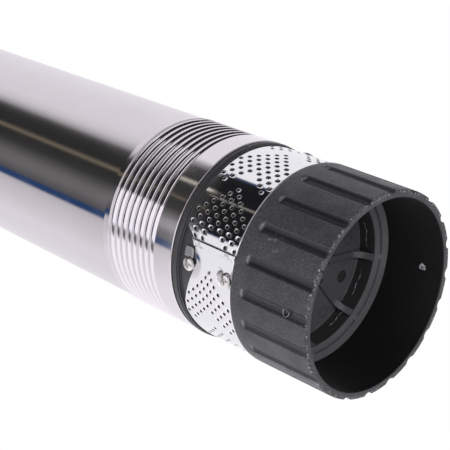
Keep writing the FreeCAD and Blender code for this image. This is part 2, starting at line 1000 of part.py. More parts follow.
def can_top_cover():
    """Lid of the motor can, with the hole for the inner cable inlet."""
    lip = can_rim_bore - rim_wall
    profile = [(lip, cover_base), (can_fit_radius, cover_base)]
    profile += grooved(can_fit_radius, cover_groove())
    profile += [
        (can_fit_radius, can_top),
        (can_radius, can_top),
        (can_radius, cover_top - cover_chamfer),
        (can_radius - cover_chamfer, cover_top),
        (0, cover_top),
        (0, can_top),
        (lip, can_top),
    ]
    return turned(profile).cut(disc(inlet_radius + seat_fit, can_top - 1, cover_top + 1, inlet_place()))


def inlet_place():
    spot = point(can_radius - inlet_inset, gland_azimuth)
    return spot.x, spot.y


def cover_inlet():
    place = inlet_place()
    body = disc(inlet_radius, can_top + 10 * seat_fit, cover_top, place)
    body = body.fuse(disc(inlet_radius + inlet_flange, cover_top, cover_top + inlet_height, place))
    return body.cut(disc(cable_radius, can_top, cover_top + inlet_height + 1, place))


def cover_seal_ring():
    return seal_ring_in_groove(can_fit_radius, can_bore, cover_groove())


# Discharge head

def head_groove():
    return shell_top - head_spigot + head_groove_rise


def head_bore():
    return spigot_radius - head_wall


def gland_place():
    spot = point(gland_reach, gland_azimuth)
    return spot.x, spot.y


def gland_top():
    return shell_top + gland_boss_height


def head_casting():
    """Head turned about the axis: spigot with its seal groove, flange, cone, neck and stepped outlet bore."""
    inner = head_bore()
    profile = [(inner, shell_top - head_spigot), (spigot_radius, shell_top - head_spigot)]
    profile += grooved(spigot_radius, head_groove())
    profile += [
        (spigot_radius, shell_top),
        (shell_radius, shell_top),
        (shell_radius, cone_base - head_chamfer),
        (shell_radius - head_chamfer, cone_base),
        (neck_radius + 1.5 * neck_round, neck_base - 1.3 * neck_round),
        (neck_radius + 0.3 * neck_round, neck_base - 0.4 * neck_round,
         neck_radius, neck_base + neck_round),
        (neck_radius, head_top - head_chamfer),
        (neck_radius - head_chamfer, head_top),
        (thread_radius, head_top),
        (thread_radius, thread_base),
        (valve_bore, thread_base),
        (valve_bore, valve_base),
        (throat_radius, valve_base),
        (throat_radius, valve_base - throat_depth),
        (inner, cone_base - cone_foot),
    ]
    return turned(profile)


def eye_height():
    """A rod through the eye runs clear over the cone and past the neck."""
    return neck_base - eye_over_neck


def rope_lug():
    """Wing on the flange that ends round the eye, trimmed to the shell's outline."""
    across = FreeCAD.Vector(0, 1, 0)
    low = cone_base - cone_foot
    middle = FreeCAD.Vector(eye_reach, -eye_plate / 2, eye_height())
    wing = Part.makeBox(eye_reach + eye_outer_radius, eye_plate, eye_height() - low,
                        FreeCAD.Vector(0, -eye_plate / 2, low))
    crown = Part.makeCylinder(eye_outer_radius, eye_plate, middle, across)
    shoulder = Part.makeBox(eye_reach, eye_plate, eye_outer_radius,
                            FreeCAD.Vector(0, -eye_plate / 2, eye_height()))
    lug = wing.fuse([crown, shoulder]).cut(disc(throat_radius, low - 1, head_top))
    lug = lug.cut(disc(neck_radius - head_chamfer, low - 1, head_top))
    lug = lug.common(disc(shell_radius - head_chamfer, low, head_top))
    return lug.cut(Part.makeCylinder(eye_hole_radius, eye_plate, middle, across))


def discharge_head():
    """Cast head with two rope eyes and a boss for the cable gland."""
    place = gland_place()
    boss = disc(gland_boss_radius, cone_base - cone_foot, gland_top(), place)
    boss = boss.common(disc(shell_radius, shell_top, head_top))
    body = head_casting().fuse(around(rope_lug(), 2) + [boss]).removeSplitter()
    holes = [
        disc(gland_thread_radius, shell_top - 2.0, gland_top() + 1, place),
        disc(spot_face_radius, gland_top(), head_top, place),
    ]
    return body.cut(holes)


def motor_clamp():
    """Ring under the cone with four posts that press on the lid of the motor, and the way for the cable."""
    high = cone_base - cone_foot
    low = high - clamp_ring_height
    outer = head_bore() - seat_fit
    band = ring(outer - clamp_ring_width, outer, low, high)
    post = disc(post_radius, cover_top, high - clamp_ring_height / 2, (post_reach, 0.0))
    body = band.fuse(around(post, post_count, clamp_phase)).removeSplitter()
    return body.cut(disc(wire_hole_radius, low - 1, high + 1, gland_place()))


def head_seal_ring():
    return seal_ring_in_groove(spigot_radius, shell_bore, head_groove())


def cable_gland_body():
    place = gland_place()
    top = gland_top()
    way = cable_radius + gland_wall
    thread = gland_thread_radius + gland_wall
    stem = disc(gland_thread_radius - seat_fit, top - gland_stem, top + 1, place)
    collar = hexagon(gland_hex, top, top + gland_collar, way, place)
    neck = disc(thread, top + gland_collar - 1, top + gland_stem, place)
    body = stem.fuse([collar, neck]).cut(disc(way, top - gland_stem - 1, top + gland_stem + 1, place))
    return body.cut(disc(gland_thread_radius - gland_wall, top + gland_collar, top + gland_stem + 1, place))


def cable_grommet():
    place = gland_place()
    low = gland_top() + gland_collar
    high = gland_top() + gland_stem + 2 * slide_fit
    body = disc(gland_thread_radius - gland_wall - seat_fit, low, high, place)
    return body.cut(disc(cable_radius, low - 1, high + 1, place))


def cable_gland_nut():
    place = gland_place()
    low = gland_top() + gland_collar + 2 * slide_fit
    way = cable_radius + gland_wall
    body = hexagon(gland_nut_hex, low, low + gland_nut_height, way, place)
    dome_radius = gland_nut_hex / 2 - gland_dome_inset
    dome = disc(dome_radius, low + gland_nut_height - 1, low + gland_dome_height, place)
    body = body.fuse(dome).cut(disc(way, low - 1, low + gland_dome_height + 1, place))
    pocket = gland_thread_radius + gland_wall + seat_fit
    return body.cut(disc(pocket, low - 1, gland_top() + gland_stem + 0.5, place))


# Check valve

def valve_seat():
    rim = valve_bore - seat_fit
    top = valve_base + valve_seat_height
    return turned([
        (valve_seat_bore, valve_base),
        (rim, valve_base),
        (rim, top),
        (valve_seat_bore + seat_chamfer, top),
        (valve_seat_bore, top - seat_chamfer),
    ])


def poppet_base():
    return valve_base + valve_seat_height + face_gap


def valve_poppet():
    """Disc with a rounded lower edge and the stem that runs in the guide."""
    low = poppet_base()
    back = low + poppet_thickness - face_gap
    stem_top = guide_base + guide_height + stem_over_guide
    return turned([
        (0, low),
        (poppet_radius - seat_chamfer, low),
        (poppet_radius, low + seat_chamfer),
        (poppet_radius, back),
        (poppet_stem, back),
        (poppet_stem, stem_top - stem_over_guide),
        (poppet_stem - stem_over_guide, stem_top),
        (0, stem_top),
    ])


def valve_guide():
    """Ring in the bore with three arms to the hub that guides the stem."""
    top = guide_base + guide_height
    rim_bore = valve_bore - guide_rim
    hub_outer = poppet_stem + guide_arm_width
    rim = ring(rim_bore, valve_bore - seat_fit, guide_base, top)
    hub = ring(poppet_stem + running_fit, hub_outer, guide_base, top)
    arm = Part.makeBox(rim_bore - hub_outer + guide_rim, guide_arm_width, guide_height,
                       FreeCAD.Vector(hub_outer - guide_rim / 2, -guide_arm_width / 2, guide_base))
    return rim.fuse([hub] + around(arm, guide_arms)).removeSplitter()


def valve_spring():
    low = poppet_base() + poppet_thickness
    high = guide_base - face_gap
    return coil(valve_spring_radius, valve_spring_wire, low + face_gap, high, valve_spring_turns)


pieces = {
    "outer_shell": outer_shell(),
    "suction_casing": suction_casing(),
    "suction_seal_ring": suction_seal_ring(),
    "strainer": strainer(),
    "strainer_screws": strainer_screws(),
    "foot_bell": foot_bell(),
    "intake_end_plate": intake_end_plate(),
    "impeller_spacers": impeller_spacers(),
    "impeller_washer": impeller_washer(),
    "impeller_nut": impeller_nut(),
    "shaft": shaft(),
    "shaft_key": shaft_key(),
    "seal_housing": seal_housing(),
    "housing_seal_ring": housing_seal_ring(),
    "seal_seat": seal_seat(),
    "seal_ring": seal_ring(),
    "seal_spring": seal_spring(),
    "seal_collar": seal_collar(),
    "lower_bearing_bush": bearing_bush(bush_base),
    "upper_bearing_bush": bearing_bush(bracket_base),
    "thrust_washer": thrust_washer(),
    "thrust_collar": thrust_collar(),
    "motor_can": motor_can(),
    "stator_core": stator_core(),
    "stator_winding": stator_winding(),
    "rotor_core": rotor_core(),
    "rotor_end_rings": rotor_end_rings(),
    "upper_bracket": upper_bracket(),
    "capacitor_tray": capacitor_tray(),
    "start_capacitor": start_capacitor(),
    "thermal_protector": thermal_protector(),
    "can_top_cover": can_top_cover(),
    "cover_inlet": cover_inlet(),
    "cover_seal_ring": cover_seal_ring(),
    "discharge_head": discharge_head(),
    "motor_clamp": motor_clamp(),
    "head_seal_ring": head_seal_ring(),
    "cable_gland_body": cable_gland_body(),
    "cable_grommet": cable_grommet(),
    "cable_gland_nut": cable_gland_nut(),
    "valve_seat": valve_seat(),
    "valve_poppet": valve_poppet(),
    "valve_guide": valve_guide(),
    "valve_spring": valve_spring(),
}
for stage in range(stage_count):
    pieces["diffuser_%d" % (stage + 1)] = diffuser(stage)
    pieces["impeller_%d" % (stage + 1)] = impeller(stage)
    pieces["neck_ring_%d" % (stage + 1)] = neck_ring(stage)

os.makedirs("parts", exist_ok=True)
for name, shape in pieces.items():
    shape.exportStep("parts/" + name + ".step")
    print(name, len(shape.Solids), "valid" if shape.isValid() else "INVALID", round(shape.Volume, 1))
print("shell", shell_base, shell_top, "head top", head_top)
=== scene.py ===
from math import radians, tau

import bmesh
import bpy
import numpy as np
from mathutils import Matrix, Vector


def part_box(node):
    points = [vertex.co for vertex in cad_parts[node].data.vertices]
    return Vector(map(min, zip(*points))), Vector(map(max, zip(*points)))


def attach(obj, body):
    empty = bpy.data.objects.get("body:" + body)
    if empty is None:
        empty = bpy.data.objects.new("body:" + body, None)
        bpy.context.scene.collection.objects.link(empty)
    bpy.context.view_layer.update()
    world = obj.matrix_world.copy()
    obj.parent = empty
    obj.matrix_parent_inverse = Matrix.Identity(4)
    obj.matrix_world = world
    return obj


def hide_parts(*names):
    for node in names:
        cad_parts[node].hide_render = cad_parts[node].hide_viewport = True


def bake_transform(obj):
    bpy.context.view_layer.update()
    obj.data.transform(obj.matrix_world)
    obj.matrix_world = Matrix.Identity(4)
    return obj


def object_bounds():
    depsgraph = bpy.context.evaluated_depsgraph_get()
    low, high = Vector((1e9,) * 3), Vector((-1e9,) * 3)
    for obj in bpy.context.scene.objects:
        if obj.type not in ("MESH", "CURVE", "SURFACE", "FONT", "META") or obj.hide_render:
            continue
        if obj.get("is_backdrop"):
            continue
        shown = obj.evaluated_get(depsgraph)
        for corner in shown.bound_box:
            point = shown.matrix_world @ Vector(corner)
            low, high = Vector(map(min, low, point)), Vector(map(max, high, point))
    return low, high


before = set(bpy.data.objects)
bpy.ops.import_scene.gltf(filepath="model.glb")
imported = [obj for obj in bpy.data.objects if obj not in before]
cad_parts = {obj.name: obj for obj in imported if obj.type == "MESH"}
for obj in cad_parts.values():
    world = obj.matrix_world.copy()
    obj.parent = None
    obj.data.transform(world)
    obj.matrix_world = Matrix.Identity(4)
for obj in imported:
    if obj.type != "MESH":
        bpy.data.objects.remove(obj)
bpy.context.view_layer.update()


# Outer shell. A polished stainless tube rolled from sheet, with a plain band and eight rolled
# rings at its lower end, where it grips the suction flange. The discharge head closes its top.

shell_low, shell_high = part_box("outer_shell")
inset = 0.00001
shell_radius = min(shell_high.x, -shell_low.x) - inset
shell_base = shell_low.z
tube_radius = shell_radius - 0.0005
shell_bore = 0.0475
band_length = 0.0124
ring_count = 8
ring_pitch = 0.0041
ring_depth = 0.0006
ring_power = 0.7
rows_per_ring = 20
flare_length = 0.0045


def outline(corners, steps=5):
    """Closed outline through corners (r, z, bend): each corner is an arc of radius bend, turned evenly
    about its centre from where it touches one side to where it touches the other."""
    corners = np.array(corners, float)
    place = corners[:, :2]
    bend = corners[:, 2:]
    back = np.roll(place, 1, axis=0) - place
    on = np.roll(place, -1, axis=0) - place
    back /= np.linalg.norm(back, axis=1, keepdims=True)
    on /= np.linalg.norm(on, axis=1, keepdims=True)
    half = np.arccos(np.clip((back * on).sum(axis=1, keepdims=True), -0.9999, 0.9999)) / 2
    reach = bend / np.tan(half)
    inward = (back + on) / np.linalg.norm(back + on, axis=1, keepdims=True)
    centre = place + inward * bend / np.sin(half)
    start = (place + back * reach - centre)[:, None]
    end = (place + on * reach - centre)[:, None]
    turn = (np.pi - 2 * half)[:, None]
    share = np.linspace(0, 1, steps)[None, :, None]
    arc = (np.sin((1 - share) * turn) * start + np.sin(share * turn) * end) / np.sin(turn)
    return (centre[:, None] + arc).reshape(-1, 2)


def held(profile, long=0.0015, near=0.00012):
    """Outline with a point more close to each end of its long straights, which then shade flat."""
    step = np.roll(profile, -1, axis=0) - profile
    length = np.linalg.norm(step, axis=1)
    share = (near / np.maximum(length, near))[:, None]
    points = np.stack([profile, profile + step * share, profile + step * (1 - share)], axis=1)
    is_long = length > long
    return points[np.column_stack([length > -1, is_long, is_long])]


def around(r, angle, z):
    """Points at radii, angles and heights: (r cos a, r sin a, z)."""
    return np.stack(np.broadcast_arrays(r * np.cos(angle), r * np.sin(angle), z), axis=-1)


def turned(profile, steps=288):
    """Profile of (r, z) points carried round the Z axis by even angles."""
    angle = np.linspace(0, tau, steps, endpoint=False)[:, None]
    return around(profile[:, 0], angle, profile[:, 1])


def quads(grid, start, wrap):
    """Faces between neighbours of a grid; a wrapped direction joins its end to its start."""
    index = np.arange(grid.shape[0] * grid.shape[1]).reshape(grid.shape[:2]) + start
    if wrap[0]:
        index = np.concatenate([index, index[:1]])
    if wrap[1]:
        index = np.concatenate([index, index[:, :1]], axis=1)
    corners = [index[:-1, :-1], index[1:, :-1], index[1:, 1:], index[:-1, 1:]]
    return np.stack(corners, axis=-1).reshape(-1, 4)


def placed(name, data):
    """New object with its data, in the scene."""
    made = bpy.data.objects.new(name, data)
    bpy.context.scene.collection.objects.link(made)
    return made


def smooth_piece(name, shape, body, merge, crease=None):
    """Piece from an edit mesh: doubles merged, smooth but for sharp angles, on its body."""
    bmesh.ops.remove_doubles(shape, verts=shape.verts, dist=merge)
    mesh = bpy.data.meshes.new(name)
    shape.to_mesh(mesh)
    shape.free()
    mesh.shade_smooth()
    if crease:
        mesh.set_sharp_from_angle(angle=radians(crease))
    made = placed(name, mesh)
    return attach(made, body) if body else made


def skin(name, grids, wrap=(True, True), crease=32, body="pump_body"):
    """Piece made of one or more grids of points."""
    points = np.concatenate([grid.reshape(-1, 3) for grid in grids])
    starts = np.cumsum([0] + [grid.shape[0] * grid.shape[1] for grid in grids])
    faces = np.concatenate([quads(grid, start, wrap) for grid, start in zip(grids, starts)])
    raw = bpy.data.meshes.new(name)
    raw.from_pydata(points.tolist(), [], faces.tolist())
    shape = bmesh.new()
    shape.from_mesh(raw)
    bpy.data.meshes.remove(raw)
    return smooth_piece(name, shape, body, 2e-6, crease)


def rolled_rings(base, top):
    """Outside of the ringed stretch: the radius dips by the ring depth times 1 - |sin|^power of the
    height, and the heights crowd at the grooves by a cosine."""
    within = (1 - np.cos(np.linspace(0, np.pi, rows_per_ring + 1)[:-1])) / 2
    z = base + ring_pitch * (np.arange(ring_count)[:, None] + within).ravel()
    z = np.append(z, top)
    swell = np.abs(np.sin(np.pi * (z - base) / ring_pitch)) ** ring_power
    return np.column_stack([shell_radius - ring_depth * (1 - swell), z])


rings_base = shell_base + band_length
rings_top = rings_base + ring_count * ring_pitch
edge = 0.00035
shell_foot = outline([
    (shell_bore, shell_base, 0),
    (shell_radius, shell_base, edge),
    (shell_radius, rings_base - 0.0003, 0.0003),
    (shell_radius - ring_depth, rings_base, 0),
    (shell_bore, rings_base, 0),
])[:-10]
shell_head = outline([
    (shell_radius - ring_depth, rings_top, 0),
    (shell_radius, rings_top + 0.0004, 0.0003),
    (tube_radius, rings_top + flare_length, 0.004),
    (tube_radius, shell_high.z, edge),
    (shell_bore, shell_high.z, edge),
    (shell_bore, shell_base, 0),
])[5:-5]
shell_profile = np.concatenate([shell_foot, rolled_rings(rings_base, rings_top)[1:-1], shell_head])
shell = skin("outer_shell_skin", [turned(held(shell_profile), 360)])


def new_group(name, inputs, outputs):
    """Shader node group with numbers in (and defaults) and out; what is given and where it is put."""
    group = bpy.data.node_groups.new(name, "ShaderNodeTree")
    for label, value in inputs.items():
        socket = group.interface.new_socket(label, in_out="INPUT", socket_type="NodeSocketFloat")
        socket.default_value = value
    for label in outputs:
        group.interface.new_socket(label, in_out="OUTPUT", socket_type="NodeSocketFloat")
    return group, group.nodes.new("NodeGroupInput").outputs, group.nodes.new("NodeGroupOutput")


def feed(socket, value):
    """Links an input to another node's output, or sets its own value."""
    if isinstance(value, bpy.types.NodeSocket):
        socket.id_data.links.new(value, socket)
    else:
        socket.default_value = value


def fill(made, **values):
    """Gives a node values: to its inputs by name where it has them, else to its properties."""
    for key, value in values.items():
        label = key.replace("_", " ").title()
        if label in made.inputs:
            feed(made.inputs[label], value)
        else:
            setattr(made, key, value)
    return made


def node(tree, kind, **values):
    """New shader node with its values."""
    return fill(tree.nodes.new("ShaderNode" + kind), **values)


def shader_of(material):
    """A material's Principled shader."""
    return material.node_tree.nodes["Principled BSDF"]


def new_material(name, colour, metallic, roughness):
    """Material of plain values."""
    made = bpy.data.materials.new(name)
    made.use_nodes = True
    fill(shader_of(made), base_color=(*colour, 1), metallic=metallic, roughness=roughness)
    return made


def maths(operation, first, second=None, kind="Math", out=0):
    """Math node of numbers or outputs."""
    tree = (first if isinstance(first, bpy.types.NodeSocket) else second).id_data
    made = node(tree, kind, operation=operation)
    for socket, value in zip(made.inputs, (first, second)):
        if value is not None:
            feed(socket, value)
    return made.outputs[out]


def noise(place, scale, detail, roughness):
    """Noise over a place."""
    return node(place.id_data, "TexNoise", vector=place, scale=scale, detail=detail,
                roughness=roughness).outputs[0]


def turning_marks_group():
    """Fine marks that run round the Z axis: noise that is quick along Z and slow across it."""
    group, given, put = new_group("turning_marks", {"Across": 60, "Along": 9000}, ("Mask", "Blotch"))
    place = node(group, "TexCoord").outputs["Object"]
    scale = node(group, "CombineXYZ", x=given["Across"], y=given["Across"], z=given["Along"])
    drawn = maths("MULTIPLY", place, scale.outputs["Vector"], "VectorMath")
    fill(put, mask=noise(drawn, 1.0, 4.0, 0.65), blotch=noise(place, 45, 3.0, 0.55))
    return group


turning_marks = turning_marks_group()


def use_group(material, group, **values):
    """Outputs of a group used in a material."""
    return node(material.node_tree, "Group", node_tree=group, **values).outputs


def between(source, low, high, from_low=0.25, from_high=0.75):
    """A mask brought to the wanted range."""
    return node(source.id_data, "MapRange", value=source, from_min=from_low, from_max=from_high,
                to_min=low, to_max=high).outputs["Result"]


def mixed(share, first, second, kind="RGBA"):
    """Mix of two colours (or numbers) by a share."""
    made = node(share.id_data, "Mix", data_type=kind)
    low, high, out = (6, 7, 2) if kind == "RGBA" else (2, 3, 0)
    for socket, value in ((0, share), (low, first), (high, second)):
        feed(made.inputs[socket], value)
    return made.outputs[out]


def surfaced(material, colour, roughness, height, strength, distance=0.0001):
    """The material with a colour, a roughness and a bump in its shader."""
    relief = node(material.node_tree, "Bump", height=height, strength=strength, distance=distance)
    fill(shader_of(material), base_color=colour, roughness=roughness, normal=relief.outputs["Normal"])
    return material


def metal(name, colour, rough_low, rough_high, along=9000, across=60, strength=0.05):
    """Turned or ground metal, with marks round the axis and soft blotches."""
    made = new_material(name, colour, 1.0, rough_low)
    marks = use_group(made, turning_marks, across=across, along=along)
    tone = mixed(marks["Blotch"], (*[c * 0.9 for c in colour], 1), (*colour, 1))
    rough = between(marks["Mask"], rough_low, rough_high)
    rough = maths("ADD", rough, between(marks["Blotch"], -0.02, 0.03))
    return surfaced(made, tone, rough, marks["Mask"], strength)


def dress(made, material, slot, *nodes):
    """Gives a piece its material and hides the solids that it stands for. Its slot is not used."""
    made.data.materials.clear()
    made.data.materials.append(material)
    if nodes:
        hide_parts(*nodes)


shell_steel = metal("polished_shell_steel", (0.8, 0.765, 0.79), 0.05, 0.11, 9000, 60, 0.03)
dress(shell, shell_steel, "polished_steel", "outer_shell")


# Suction casing. A moulding of dark filled plastic: its flange closes the shell's foot, one spigot
# goes up into the shell, the other carries the strainer, and four legs stand on the foot bell.

casing_low, casing_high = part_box("suction_casing")
flange_base = shell_base - 0.0048
casing_wall = 0.0021
collar_radius = 0.0472
collar_inner = collar_radius - casing_wall
spigot_radius = 0.0473
spigot_inner = spigot_radius - casing_wall
casing_plate_top = shell_base + 0.0013
casing_plate_low = casing_plate_top - 0.0024
eye_radius = 0.0216
soft = 0.0003
casing_profile = outline([
    (collar_inner, casing_low.z, soft),
    (collar_radius, casing_low.z, soft),
    (collar_radius, flange_base, 0.0002),
    (shell_radius - 0.0004, flange_base, soft),
    (shell_radius - 0.0003, flange_base + 0.0005, 0.0001),
    (shell_radius - 0.001, flange_base + 0.0006, 0.0001),
    (shell_radius - 0.001, flange_base + 0.001, 0.0001),
    (shell_radius - 0.0002, flange_base + 0.0012, 0.0001),
    (shell_radius, flange_base + 0.0029, soft),
    (shell_radius - 0.0009, flange_base + 0.0033, 0.0002),
    (shell_radius - 0.0009, shell_base - 2 * inset, 0.0001),
    (spigot_radius, shell_base - 2 * inset, 0),
    (spigot_radius, casing_high.z, soft),
    (spigot_inner, casing_high.z, soft),
    (spigot_inner, casing_plate_top, soft),
    (eye_radius, casing_plate_top, soft),
    (eye_radius, casing_plate_low, soft),
    (collar_inner, casing_plate_low, 0.001),
])
leg_radius = 0.0035
leg_flare = 0.0012
leg_reach = 0.0395
leg_count = 4
leg_phase = radians(38)
leg_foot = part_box("foot_bell")[1].z


def casing_leg(turn):
    """Round leg with a flared top, carried to its place round the axis."""
    z = np.linspace(leg_foot, casing_plate_low + 0.0005, 16)
    flare = leg_flare * np.clip((z - z[-5]) / (z[-1] - z[-5]), 0, 1) ** 2
    column = turned(np.column_stack([leg_radius + flare, z]), 24)
    return column + around(leg_reach, turn, 0)


legs = [casing_leg(leg_phase + tau * k / leg_count) for k in range(leg_count)]
casing = skin("suction_casing_skin", [turned(held(casing_profile))])
casing_legs = skin("suction_casing_legs", legs, (True, False))


def spark_texture_group():
    """Fine leathery grain of a spark-eroded mould: small cells with noise, and slow rubbed patches."""
    group, given, put = new_group("spark_texture", {"Grain": 2600}, ("Height", "Rub"))
    place = node(group, "TexCoord").outputs["Object"]
    cells = node(group, "TexVoronoi", feature="SMOOTH_F1", vector=place, scale=given["Grain"],
                 smoothness=0.6)
    height = maths("ADD", cells.outputs["Distance"], noise(place, given["Grain"], 3.0, 0.6))
    fill(put, height=height, rub=noise(place, 70, 5.0, 0.6))
    return group


spark_texture = spark_texture_group()


def plastic(name, dark, pale, rough_low, rough_high, strength=0.35, grain=2600):
    """Moulded plastic, with a spark-eroded grain and rubbed patches."""
    made = new_material(name, dark, 0.0, rough_low)
    fill(shader_of(made), sheen_weight=0.05, sheen_roughness=0.4, sheen_tint=(0.95, 0.93, 1.0, 1))
    grains = use_group(made, spark_texture, grain=grain)
    height, rub = grains["Height"], grains["Rub"]
    share = maths("MULTIPLY", between(height, 0.0, 1.0, 0.5, 1.3), between(rub, 0.4, 1.0))
    tone = mixed(share, (*dark, 1), (*pale, 1))
    return surfaced(made, tone, between(rub, rough_high, rough_low), height, strength, 0.00008)


def place_masks_group():
    """A point's distance from the Z axis, its height, and its distance from a given place."""
    group, given, put = new_group("place_masks", {"X": 0.0, "Y": 0.0, "Z": 0.0},
                                  ("Radius", "Height", "Distance"))
    place = node(group, "TexCoord").outputs["Object"]
    split = node(group, "SeparateXYZ", vector=place).outputs
    flat = node(group, "CombineXYZ", x=split["X"], y=split["Y"])
    goal = node(group, "CombineXYZ", x=given["X"], y=given["Y"], z=given["Z"])
    fill(put, radius=maths("LENGTH", flat.outputs["Vector"], None, "VectorMath", 1), height=split["Z"],
         distance=maths("DISTANCE", place, goal.outputs["Vector"], "VectorMath", 1))
    return group


place_masks = place_masks_group()


def overlay(material, mask, colour, roughness):
    """Another colour and roughness where a mask is 1."""
    for label, value, kind in (("Base Color", (*colour, 1), "RGBA"), ("Roughness", roughness, "FLOAT")):
        socket = shader_of(material).inputs[label]
        feed(socket, mixed(mask, socket.links[0].from_socket, value, kind))


casing_plastic = plastic("casing_plastic", (0.022, 0.022, 0.024), (0.042, 0.042, 0.046), 0.28, 0.45, 0.15)
dress(casing, casing_plastic, "black_plastic", "suction_casing")
dress(casing_legs, casing_plastic, "black_plastic")


# Foot bell. A black moulding with twenty flutes and a rounded heel; its collar carries the strainer
# and its web carries the end plate. Two small drain holes let it empty when the pump is lifted.

foot_height = 0.0446
heel_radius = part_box("foot_bell")[1].x
mouth_radius = heel_radius - 0.0005
wall_slope = (heel_radius - mouth_radius) / foot_height
mouth_bore = 0.0449
cup_bore = 0.0445
cup_depth = 0.046
web_bore = 0.03
web_top = cup_depth + 0.0025
bell_collar_top = 0.0516
flute_count = 20
flute_period = tau / flute_count
flute_phase = 9
flute_radius = 0.00325
flute_depth = 0.0013
flute_end = 0.0362
drain_radius = 0.0017
drain_height = 0.0115
drain_azimuth = 63


def flute_dip(angle, z):
    """Depth of the nearest flute: the ball cutter's circle below the wall, sqrt(R2 - s2 - h2) -
    (R - depth), where s is the distance from the flute's middle and h the height above its ball end."""
    offset = (angle - radians(flute_phase) + flute_period / 2) % flute_period - flute_period / 2
    across = offset * heel_radius
    above = np.clip(z - flute_end, 0, None)
    room = np.clip(flute_radius ** 2 - across ** 2 - above ** 2, 0, None)
    return np.clip(np.sqrt(room) - (flute_radius - flute_depth), 0, None)


def fluted_angles():
    """Angles with a column on each flute's edges, close together in the flutes and wider between."""
    half = np.sqrt(flute_radius ** 2 - (flute_radius - flute_depth) ** 2) / heel_radius
    inside = np.linspace(-half, half, 15)
    outside = half + (flute_period - 2 * half) * (1 - np.cos(np.linspace(0, np.pi, 12)))[1:-1] / 2
    one = np.concatenate([inside, outside])
    middles = radians(flute_phase) + np.arange(flute_count) * flute_period
    return (middles[:, None] + one).ravel()


def bell_grid():
    """Wall turned round the axis, its outer side and rim pulled in by the flutes."""
    rise = np.linspace(0.0025, foot_height - 0.0024, 60)
    corners = outline([
        (mouth_bore, 0, edge),
        (mouth_radius, 0, edge),
        (heel_radius, foot_height, 0.0012),
        (collar_radius, foot_height, 0.0001),
        (collar_radius, bell_collar_top, soft),
        (collar_inner, bell_collar_top, soft),
        (collar_inner, web_top, soft),
        (web_bore, web_top, soft),
        (web_bore, cup_depth, soft),
        (cup_bore, cup_depth, soft),
    ], 6)
    wall = np.column_stack([mouth_radius + wall_slope * rise, rise])
    profile = np.concatenate([corners[:12], wall, corners[12:]])
    follows = np.zeros(len(profile))
    follows[6:15 + len(wall)] = 1
    angle = fluted_angles()[:, None]
    r = profile[:, 0] - follows * flute_dip(angle, profile[:, 1])
    return around(r, angle, profile[:, 1])


def pierce(made, bar):
    """Cuts a closed shape out of a piece and removes it."""
    cut = made.modifiers.new("cut", "BOOLEAN")
    cut.operation = "DIFFERENCE"
    cut.object = bar
    graph = bpy.context.evaluated_depsgraph_get()
    solid = bpy.data.meshes.new_from_object(made.evaluated_get(graph))
    made.modifiers.clear()
    made.data = solid
    bpy.data.objects.remove(bar)
    solid.shade_smooth()
    solid.set_sharp_from_angle(angle=radians(32))


def spot(azimuth, radius, height):
    """Place at an azimuth, a radius and a height, its X axis along the radius."""
    return Matrix.Rotation(radians(azimuth), 4, "Z") @ Matrix.Translation((radius, 0, height))


def carried(points, place):
    """Points turned and moved by a matrix."""
    turn = np.array(place)
    return points @ turn[:3, :3].T + turn[:3, 3]


def cutter(radius, length, place):
    """Closed round bar along Z, carried to its place."""
    half = length / 2
    profile = np.array([(0, -half), (radius, -half), (radius, half), (0, half)])
    return skin("cutter", [carried(turned(profile, 40), place)], (True, False))


def drain_place(radius, azimuth=drain_azimuth):
    """Place on the drain's axis at a radius, its Z axis along the radius."""
    return spot(azimuth, radius, drain_height) @ Matrix.Rotation(radians(90), 4, "Y")


bell = skin("foot_bell_skin", [bell_grid()])
pierce(bell, cutter(drain_radius, 3 * heel_radius, drain_place(0)))


def product(first, *others):
    """All the masks multiplied."""
    for other in others:
        first = maths("MULTIPLY", first, other)
    return first


def rising(source, low, high, top=1.0):
    """Mask that climbs from 0 to its top between two values."""
    return between(source, 0.0, top, low, high)


def falling(source, low, high, top=1.0):
    """Mask that sinks from its top to 0 between two values."""
    return between(source, top, 0.0, low, high)


def seen_from(material, place):
    """The place masks in a material, for one given place."""
    x, y, z = place
    return use_group(material, place_masks, x=x, y=y, z=z)


def bell_wear_and_painted_light(material, scuff_place):
    """The core side, inside the cup, is painted near black and the flutes dark, both painted shade; the
    ball ends carry a painted highlight.
    Outside there are pale scuffs round one place, nicks along the mouth's edge, and dust."""
    where = seen_from(material, scuff_place)
    radius, height = where["Radius"], where["Height"]
    coords = node(material.node_tree, "TexCoord").outputs["Object"]
    core = falling(radius, mouth_bore + 0.0002, mouth_bore + 0.0008)
    outside = maths("SUBTRACT", 1.0, core)
    wall = maths("ADD", maths("MULTIPLY", height, wall_slope), mouth_radius)
    sunk = rising(maths("SUBTRACT", wall, radius), 0.0001, 0.0008, 0.85)
    above = rising(height, 0.0006, 0.0012)
    below = falling(height, foot_height - 0.003, foot_height - 0.0024)
    ends = rising(height, flute_end + 0.0006, flute_end + 0.0014)
    shallow = rising(radius, mouth_radius - 0.001, mouth_radius - 0.0002)
    scuffs = rising(noise(coords, 420, 6.0, 0.7), 0.54, 0.6)
    near = falling(where["Distance"], 0.001, 0.0065)
    specks = noise(coords, 900, 3.0, 0.6)
    rim = falling(height, 0.0003, 0.0008)
    outer = rising(radius, mouth_radius - 0.0018, mouth_radius - 0.0011)
    for mask, colour, roughness in (
            # painted shade: the core side inside the cup is painted near black
            (core, (0.004, 0.004, 0.0045), 0.42),
            # painted shade: the flutes are painted dark
            (product(sunk, above, below, outside), (0.006, 0.006, 0.007), 0.26),
            # painted highlight: the flutes' ball ends are painted pale
            (product(sunk, ends, shallow, below, outside), (0.2, 0.2, 0.215), 0.22),
            (product(scuffs, near, outside), (0.22, 0.22, 0.23), 0.5),
            (product(rising(specks, 0.55, 0.64), rim, outer), (0.35, 0.35, 0.36), 0.45),
            (product(rising(specks, 0.7, 0.76, 0.5), outside), (0.2, 0.2, 0.21), 0.6)):
        overlay(material, mask, colour, roughness)


